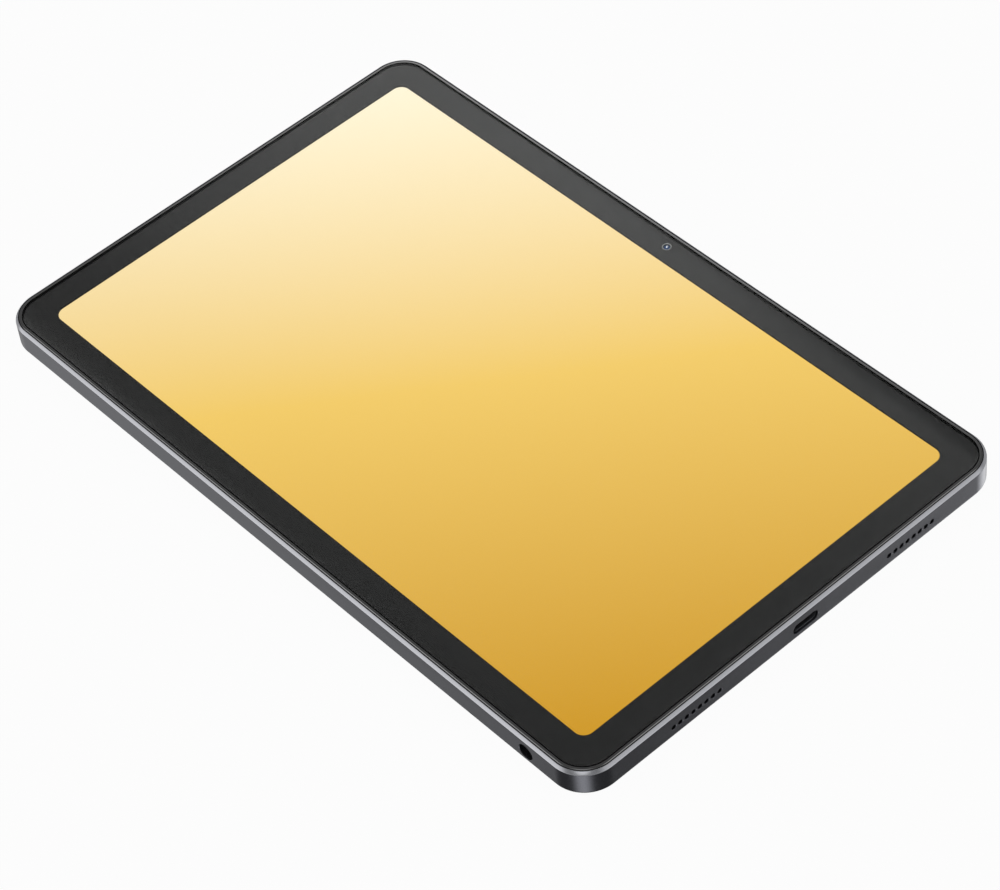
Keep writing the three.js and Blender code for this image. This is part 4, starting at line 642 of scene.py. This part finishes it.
KEY_PROUD = -HALF_LENGTH - POWER_LOW[0]
KEY_CREST = 0.2
FLANGE_FACE, FLANGE_BACK, FLANGE_RISE = -1.75, -2.25, 0.35
round_over = np.linspace(0, np.pi / 2, 6)
key_profile = np.concatenate([
    [(0, FLANGE_FACE - 0.05), (0, -0.3), (0, KEY_PROUD - KEY_CREST - EASE)],
    np.stack([KEY_CREST * (1 - np.cos(round_over)), KEY_PROUD - KEY_CREST * (1 - np.sin(round_over))], 1),
    [(KEY_CREST + 0.1, KEY_PROUD)],
])
flange_profile = [(0, FLANGE_BACK), (0, FLANGE_FACE)]
for name, spot, half_long, flange_half, body in (
    ("power_key_bar", power_spot, POWER_HALF_LONG, POWER_HALF_LONG + 0.4, "power_button"),
    ("volume_key_bar", volume_spot, VOLUME_HALF_LONG, 5.0, "volume_key"),
):
    cap = swept(outline(half_long, KEY_HALF_HIGH, KEY_HALF_HIGH, 12), key_profile, spot)
    flange = swept(outline(flange_half, KEY_HALF_HIGH + FLANGE_RISE, 0.4, 4), flange_profile, spot)
    bar = mesh_object(name, joined(cap, flange), (anodised,))
    finish_piece(bar, body, "anodised_aluminium", body)


# ---------------------------------------------------------------------------------------------
# Card tray: an anodised door on a thin tray that holds the memory card. A pin pushed through the
# hole in the door moves a rod, and the rod turns a lever that drives the tray out.

DOOR_SINK = HALF_WIDTH - TRAY_HIGH[1]
PIN_HOLE = 0.55
BODY_LEFT, BODY_RIGHT, BODY_THICK = TRAY_HIGH[0] - 16.5, TRAY_HIGH[0] - 1.5, 1.0
CARD_WIDE, CARD_LONG, CARD_DEEP = 11.2, 15.2, 0.75
PIN_X = (box_mm("eject_rod")[0] + box_mm("eject_rod")[1])[0] / 2
door_shape = swept(outline(DOOR_HALF_LONG, DOOR_HALF_HIGH, DOOR_HALF_HIGH, 12), [
    (0.05, 0.1 - WALL), (0, 0.15 - WALL), (0, -DOOR_SINK - 0.1), (0.03, -DOOR_SINK - 0.03), (0.1, -DOOR_SINK),
], door_spot)
pin_spot = facing((PIN_X, HALF_WIDTH - DOOR_SINK, DOOR_Z), BACK)
tray_front = HALF_WIDTH - WALL + 0.14
door_piece = mesh_object("card_tray_door", door_shape, (anodised,))
cut(door_piece, opening(pin_spot, PIN_HOLE, PIN_HOLE, EDGE_BREAK))
finish_piece(door_piece, "card_tray", "anodised_aluminium", "card_tray")
tray_shape = plain_block((BODY_LEFT, TRAY_LOW[1], DOOR_Z - BODY_THICK / 2),
                         (BODY_RIGHT, tray_front, DOOR_Z + BODY_THICK / 2), 0.6)
tray_piece = mesh_object("card_tray_body", tray_shape, (anodised,))
card_left = (BODY_LEFT + BODY_RIGHT - CARD_WIDE) / 2
card_low = (card_left, TRAY_LOW[1] + 2, DOOR_Z + BODY_THICK / 2 - CARD_DEEP)
cut(tray_piece, plain_block(card_low, (card_left + CARD_WIDE, card_low[1] + CARD_LONG, DOOR_Z + 2), 0.7))
finish_piece(tray_piece, "card_tray", "anodised_aluminium")


# ---------------------------------------------------------------------------------------------
# USB socket: a drawn stainless shell set back in its slot, round a black moulded tongue that
# carries a steel mid-plate and twelve gold-plated contacts on each face.

# Drawn stainless steel: bright, with faint lines along the draw.
drawn_steel = grained("drawn_stainless_steel", ("#56585C", "#64666A"), (0.3, 0.4), 0.4, 0.001,
                      (0.3, 1, 1), Metallic=1.0)

# Gold flash over nickel on copper alloy: bright and warm.
contact_gold = grained("gold_plated_contact", ("#C9A04A", "#DDB765"), (0.2, 0.3), 0.3, Metallic=1.0)

SHELL_LOW, SHELL_HIGH = box_mm("usb_receptacle")
TONGUE_HIGH = box_mm("usb_tongue")[1]
SHELL_HALF_LONG, SHELL_HALF_HIGH = (SHELL_HIGH - SHELL_LOW)[1] / 2, (SHELL_HIGH - SHELL_LOW)[2] / 2
SHELL_THICK = 0.3
shell_back, shell_mouth = SHELL_LOW[0] - HALF_LENGTH, SHELL_HIGH[0] - HALF_LENGTH
shell_shape = swept(outline(SHELL_HALF_LONG, SHELL_HALF_HIGH, SHELL_HALF_HIGH, 10), [
    (0, shell_back), (0, shell_mouth - 0.08), (0.03, shell_mouth - 0.02), (0.1, shell_mouth),
    (0.2, shell_mouth), (0.27, shell_mouth - 0.02), (SHELL_THICK, shell_mouth - 0.08),
    (SHELL_THICK, shell_back),
], usb_spot, ring=True)
shell = mesh_object("usb_shell", shell_shape, (drawn_steel,))
finish_piece(shell, "tablet", "spring_steel", "usb_receptacle")

seat = SHELL_THICK + 0.05
TONGUE_HALF_WIDE, TONGUE_HALF_THICK = 3.34, 0.35
tongue_front = TONGUE_HIGH[0] - HALF_LENGTH
plug_block = swept(outline(SHELL_HALF_LONG - seat, SHELL_HALF_HIGH - seat, SHELL_HALF_HIGH - seat, 8),
                   [(0, shell_back), (0, shell_back + 1.35), (0.05, shell_back + 1.4)], usb_spot)
tongue_bar = swept(outline(TONGUE_HALF_WIDE, TONGUE_HALF_THICK, 0.12, 4),
                   [(0, shell_back + 0.7), (0, tongue_front - 0.2), (0.12, tongue_front)], usb_spot)
contacts = []
CONTACT_PITCH, CONTACT_WIDE, CONTACT_LONG, CONTACTS = 0.5, 0.25, 3.2, 12
for row in (1, -1):
    for column in range(CONTACTS):
        y = USB_Y + (column - (CONTACTS - 1) / 2) * CONTACT_PITCH
        z = PORT_Z + row * TONGUE_HALF_THICK
        low = (HALF_LENGTH + tongue_front - 0.45 - CONTACT_LONG, y - CONTACT_WIDE / 2, z - 0.03)
        contacts.append(plain_block(low, (low[0] + CONTACT_LONG, y + CONTACT_WIDE / 2, z + 0.03), 0.05))
parts = (plug_block, tongue_bar, joined(*contacts))
which = [n > 1 for n, part in enumerate(parts) for _ in part[1]]
tongue = mesh_object("usb_tongue_contacts", joined(*parts), (moulded_black, contact_gold), which)
finish_piece(tongue, "tablet", "black_plastic", "usb_tongue")


# ---------------------------------------------------------------------------------------------
# Headphone jack: a black moulded body whose bore faces the hole in the wall. Two sprung contacts
# reach into the bore from its sides.

JACK_LOW, JACK_HIGH = box_mm("headphone_jack")
JACK_BORE, JACK_DEEP = 1.8, JACK_HIGH[1] - JACK_LOW[1]
jack_half = (JACK_HIGH - JACK_LOW) / 2
jack_front = JACK_LOW[1] + HALF_WIDTH
jack_back = -jack_front - JACK_DEEP
jack_shape = swept(outline(jack_half[0], jack_half[2], 0.3, 4), [
    (0.05, jack_back), (0, jack_back + 0.05), (0, -jack_front - 0.05), (0.05, -jack_front),
], jack_spot)
jack = mesh_object("jack_body", jack_shape, (moulded_black,))
bore = swept(disc(JACK_BORE, 10), [
    (0, jack_back + 1), (0, -jack_front - 0.15), (-0.4, 0.25 - jack_front),
], jack_spot)
cut(jack, bore)
finish_piece(jack, "tablet", "black_plastic", "headphone_jack")
SPRING_AWAY, SPRING_THICK, SPRING_SIZE = 1.45, 0.4, 1.2
spring_depths = (-jack_front - 3.2, -jack_front - 6.4)
leaves = []
for depth, side in zip(spring_depths, (1, -1)):
    leaf_low = (JACK_X + side * SPRING_AWAY - SPRING_THICK / 2, -HALF_WIDTH - depth - SPRING_SIZE / 2,
                PORT_Z - SPRING_SIZE / 2)
    leaf_high = (leaf_low[0] + SPRING_THICK, leaf_low[1] + SPRING_SIZE, PORT_Z + SPRING_SIZE / 2)
    leaves.append(plain_block(leaf_low, leaf_high, 0.15))
leaves = mesh_object("jack_contacts", joined(*leaves), (contact_gold,))
finish_piece(leaves, "tablet", "brass")


# ---------------------------------------------------------------------------------------------
# Speakers: four black moulded boxes, one behind each grille, with a woven polyester mesh glued
# inside the wall that keeps dust out and hides the cone.

# Woven polyester, 0.1 mm thread at 0.2 mm pitch: two wave patterns cross to make the cloth, drawn
# at 0.32 mm so that the holes of the grille show a weave.
dust_cloth, tree, shader = blank_material("woven_dust_mesh", Roughness=0.8)
place = add(tree, "ShaderNodeTexCoord").outputs["Object"]
THREAD_SCALE = 1000 / 0.32 / (2 * np.pi)
wave = {"Vector": place, "Scale": THREAD_SCALE}
threads = [add(tree, "ShaderNodeTexWave", wave, bands_direction=d).outputs[1] for d in "YZ"]
weave = add(tree, "ShaderNodeMath", {0: threads[0], 1: threads[1]}, operation="MULTIPLY").outputs[0]
tree.links.new(colour_steps(tree, weave, (0.1, "#050505"), (0.9, "#1C1C1D")), shader.inputs["Base Color"])
weave_bump = add(tree, "ShaderNodeBump", {"Height": weave, "Distance": 0.00006, "Strength": 1.0}).outputs[0]
tree.links.new(weave_bump, shader.inputs["Normal"])


def finish_nodes(material, *names):
    """Gives carried-over nodes their finish, in the place of every material they came with."""
    for name in names:
        held = nodes[name].data.materials
        held.clear()
        held.append(material)


finish_nodes(dust_cloth, "speaker_mesh_1", "speaker_mesh_2", "speaker_mesh_3", "speaker_mesh_4")
finish_nodes(moulded_black, "speaker_1", "speaker_2", "speaker_3", "speaker_4", "rear_camera", "front_camera")


# ---------------------------------------------------------------------------------------------
# Boards: green FR-4 with tinned shields, polyimide flexes between them, and the switch boards
# behind the keys. They lie on the housing's bosses and are held by small screws.

# FR-4 under green solder mask: semi-gloss, with the copper's routing showing as paler tracks.
solder_mask, tree, shader = blank_material("green_solder_mask", Roughness=0.35)
place = add(tree, "ShaderNodeTexCoord").outputs["Object"]
TRACK_SCALE = 1000 / 1.4 / (2 * np.pi)
diagonal = {"Vector": place, "Rotation": (0, 0, np.radians(45))}
turned_place = add(tree, "ShaderNodeMapping", diagonal).outputs[0]
wave = {"Vector": turned_place, "Scale": TRACK_SCALE, "Distortion": 6.0, "Detail": 2.0}
tracks = add(tree, "ShaderNodeTexWave", wave).outputs[1]
tree.links.new(colour_steps(tree, tracks, (0.45, "#0F4A32"), (0.55, "#1A6546")), shader.inputs["Base Color"])
track_bump = add(tree, "ShaderNodeBump", {"Height": tracks, "Distance": 0.00003, "Strength": 0.6}).outputs[0]
tree.links.new(track_bump, shader.inputs["Normal"])
finish_nodes(solder_mask, "main_board", "usb_board", "display_driver_board", "battery_guard_board",
             "power_switch_board", "volume_switch_board")

# Tinned steel, deep drawn: the shields, the card reader's cover and the microphones' cans.
tinned_steel = grained("tinned_shield_steel", ("#A9AAAC", "#BDBEC0"), (0.3, 0.42), 0.5, 0.003, Metallic=1.0)
finish_nodes(tinned_steel, "power_shield", "processor_shield", "radio_shield", "card_reader",
             "microphone_1", "microphone_2")

# Polyimide film: amber, glossy, with the copper's lines faintly darker.
polyimide = grained("polyimide_flex_film", ("#8F5212", "#A9681E"), (0.25, 0.35), 0.7, 0.002)
finish_nodes(polyimide, "battery_lead", "board_link_flex", "display_flex", "touch_flex", "jack_flex")

# Zinc-plated steel: the screws and the eject rod.
plated_steel = grained("zinc_plated_steel", ("#8D8F93", "#9C9EA2"), (0.3, 0.4), 0.3, 0.002, Metallic=1.0)
finish_nodes(plated_steel, *(name for name in nodes if "_screw_" in name), "eject_rod")

# Pressed phosphor bronze: the eject lever.
bronze = grained("pressed_phosphor_bronze", ("#A98A5C", "#BD9C6A"), (0.28, 0.38), 0.4, 0.002, Metallic=1.0)
finish_nodes(bronze, "eject_lever")


# ---------------------------------------------------------------------------------------------
# Battery, heat spreader, mid plate and backlight: flat layers between the boards and the display.

# Pouch foil: matt silver laminate of nylon on aluminium, softly creased.
pouch_foil = grained("battery_pouch_foil", ("#8C8D90", "#9FA0A3"), (0.38, 0.5), 3.0, 0.03, cloud_mm=30,
                     Metallic=0.7)
finish_nodes(pouch_foil, "battery_cell_1", "battery_cell_2")

# Graphite sheet: dark grey, faintly metallic, rolled smooth.
graphite = grained("rolled_graphite_sheet", ("#2E2E30", "#3B3B3D"), (0.4, 0.52), 1.2, 0.004, Metallic=0.35)
finish_nodes(graphite, "heat_spreader")

# Mid plate: stamped magnesium-aluminium alloy, bright and grained by its rolling.
stamped_alloy = grained("stamped_alloy_plate", ("#8A8C90", "#96989C"), (0.35, 0.45), 0.8, 0.004,
                        (0.2, 1, 1), Metallic=1.0)
finish_nodes(stamped_alloy, "mid_plate")

# Reflector film: foamed white PET at the back of the backlight.
white_pet = grained("white_reflector_film", ("#E3E3E2", "#F0F0EF"), (0.45, 0.55), 0.6, 0.002)
finish_nodes(white_pet, "backlight_unit")


# ---------------------------------------------------------------------------------------------
# Studio: a plain pale floor under the tablet, and a room of soft panels that lights it and that the
# glass and metal reflect. The camera looks down on the corner between the jack and the USB socket.

# Painted floor, nearly white: it glows evenly so that only the faintest contact shadow is left,
# and it is clear from underneath so that the back can be looked at.
FLOOR_GLOW, BACKDROP_LEVEL = 0.958, 0.982
floor_paint, tree, shader = blank_material("pale_floor_paint", Roughness=0.9, Specular_IOR_Level=0.0)
shader.inputs["Base Color"].default_value = (0.03, 0.03, 0.03, 1)
shader.inputs["Emission Color"].default_value = (1, 1, 1, 1)
shader.inputs["Emission Strength"].default_value = FLOOR_GLOW
below = add(tree, "ShaderNodeNewGeometry").outputs["Backfacing"]
clear = add(tree, "ShaderNodeBsdfTransparent").outputs[0]
two_sided = add(tree, "ShaderNodeMixShader", {0: below, 1: shader.outputs[0], 2: clear}).outputs[0]
tree.links.new(two_sided, tree.nodes["Material Output"].inputs["Surface"])
FLOOR_HALF = 6000.0
floor_corners = np.array([[-1, -1, 0], [1, -1, 0], [1, 1, 0], [-1, 1, 0]]) * FLOOR_HALF
floor = mesh_object("studio_floor", (floor_corners, [[0, 1, 2, 3]]), (floor_paint,))
floor.visible_glossy = False

# The room: its light by direction. A camera ray meets the plain pale backdrop; reflections meet
# soft panels, each a bright cap round one direction that fades out over a given angle. The panels
# stand where the camera sees them mirrored in the pane, the walls, the chamfers and the ring.
room = bpy.data.worlds.new("pale_room")
scene.world = room
room.use_nodes = True
tree = room.node_tree
tree.nodes.clear()
towards = add(tree, "ShaderNodeTexCoord").outputs["Generated"]


def soft_panel(direction, full_angle, fade_angle, strength):
    """Light from one direction: full within full_angle degrees of it, gone beyond fade_angle."""
    unit = np.array(direction, float) / np.linalg.norm(direction)
    cosine = add(tree, "ShaderNodeVectorMath", {0: towards, 1: tuple(unit)}, operation="DOT_PRODUCT")
    fade, full = np.cos(np.radians([fade_angle, full_angle]))
    limits = {0: cosine.outputs["Value"], 1: fade, 2: full, 3: 0.0, 4: strength}
    return add(tree, "ShaderNodeMapRange", limits, interpolation_type="SMOOTHSTEP").outputs[0]


ROOM_LEVEL, SIDE_LEVEL, UNDER_LEVEL = 0.25, 0.5, 0.1
height = add(tree, "ShaderNodeSeparateXYZ", {0: towards}).outputs[2]
UNDER_ENDS, SIDES_START, SIDES_END, ROOM_STARTS = -0.56, -0.3, -0.05, 0.2
limits = {0: height, 1: UNDER_ENDS, 2: SIDES_START, 3: UNDER_LEVEL, 4: SIDE_LEVEL}
low_light = add(tree, "ShaderNodeMapRange", limits).outputs[0]
limits = {0: height, 1: SIDES_END, 2: ROOM_STARTS, 3: low_light, 4: ROOM_LEVEL}
light = add(tree, "ShaderNodeMapRange", limits).outputs[0]
for panel in (
    ((-0.623, 0.561, 0.545), 5, 15.5, 1.2),
    ((-0.72, -0.262, -0.643), 3, 26, 0.64),
    ((0.41, -0.543, -0.732), 1, 19, 2.0),
    ((0.1, 0.68, -0.728), 4, 23, 2.2),
    ((-0.53, -0.84, 0.12), 14, 36, 0.66),
    ((0.87, 0.41, 0.26), 14, 36, 0.45),
    ((-0.544, -0.36, 0.758), 6, 15, 2.2),
    ((0.3, 0.411, 0.861), 6, 15, 2.2),
    ((0.525, -0.658, 0.504), 8, 22, 0.8),
    ((0.02, -0.16, 0.99), 6, 15, 1.6),
):
    light = add(tree, "ShaderNodeMath", {0: light, 1: soft_panel(*panel)}, operation="ADD").outputs[0]
seen_directly = add(tree, "ShaderNodeLightPath").outputs["Is Camera Ray"]
by_ray = {0: seen_directly, 2: light, 3: BACKDROP_LEVEL}
level = add(tree, "ShaderNodeMix", by_ray, data_type="FLOAT").outputs[0]
shown = add(tree, "ShaderNodeBackground", {"Color": (1, 1, 1, 1), "Strength": level}).outputs[0]
add(tree, "ShaderNodeOutputWorld", {"Surface": shown})

# The viewing position: a long lens a metre away, a little rolled.
scene.view_settings.view_transform = "Standard"
CAMERA_PLACE = np.array([549.12, -412.38, 718.83])
CAMERA_AIM = np.array([21.54, -13.56, 8.6])
CAMERA_ROLL = -7.192
LENS, SENSOR = 126.09, 36.0
ahead = (CAMERA_AIM - CAMERA_PLACE) / np.linalg.norm(CAMERA_AIM - CAMERA_PLACE)
level_right = np.cross(ahead, (0, 0, 1)) / np.linalg.norm(np.cross(ahead, (0, 0, 1)))
level_up = np.cross(level_right, ahead)
roll = np.radians(CAMERA_ROLL)
right = np.cos(roll) * level_right + np.sin(roll) * level_up
up = np.cos(roll) * level_up - np.sin(roll) * level_right
camera = bpy.data.objects.new("camera", bpy.data.cameras.new("camera"))
scene.collection.objects.link(camera)
turned = np.eye(4)
turned[:3, :3] = np.stack([right, up, -ahead], 1)
turned[:3, 3] = CAMERA_PLACE / 1000
camera.matrix_world = Matrix(turned.tolist())
camera.data.sensor_width, camera.data.lens = SENSOR, LENS
camera.data.clip_start, camera.data.clip_end = 0.01, 50
scene.camera = camera
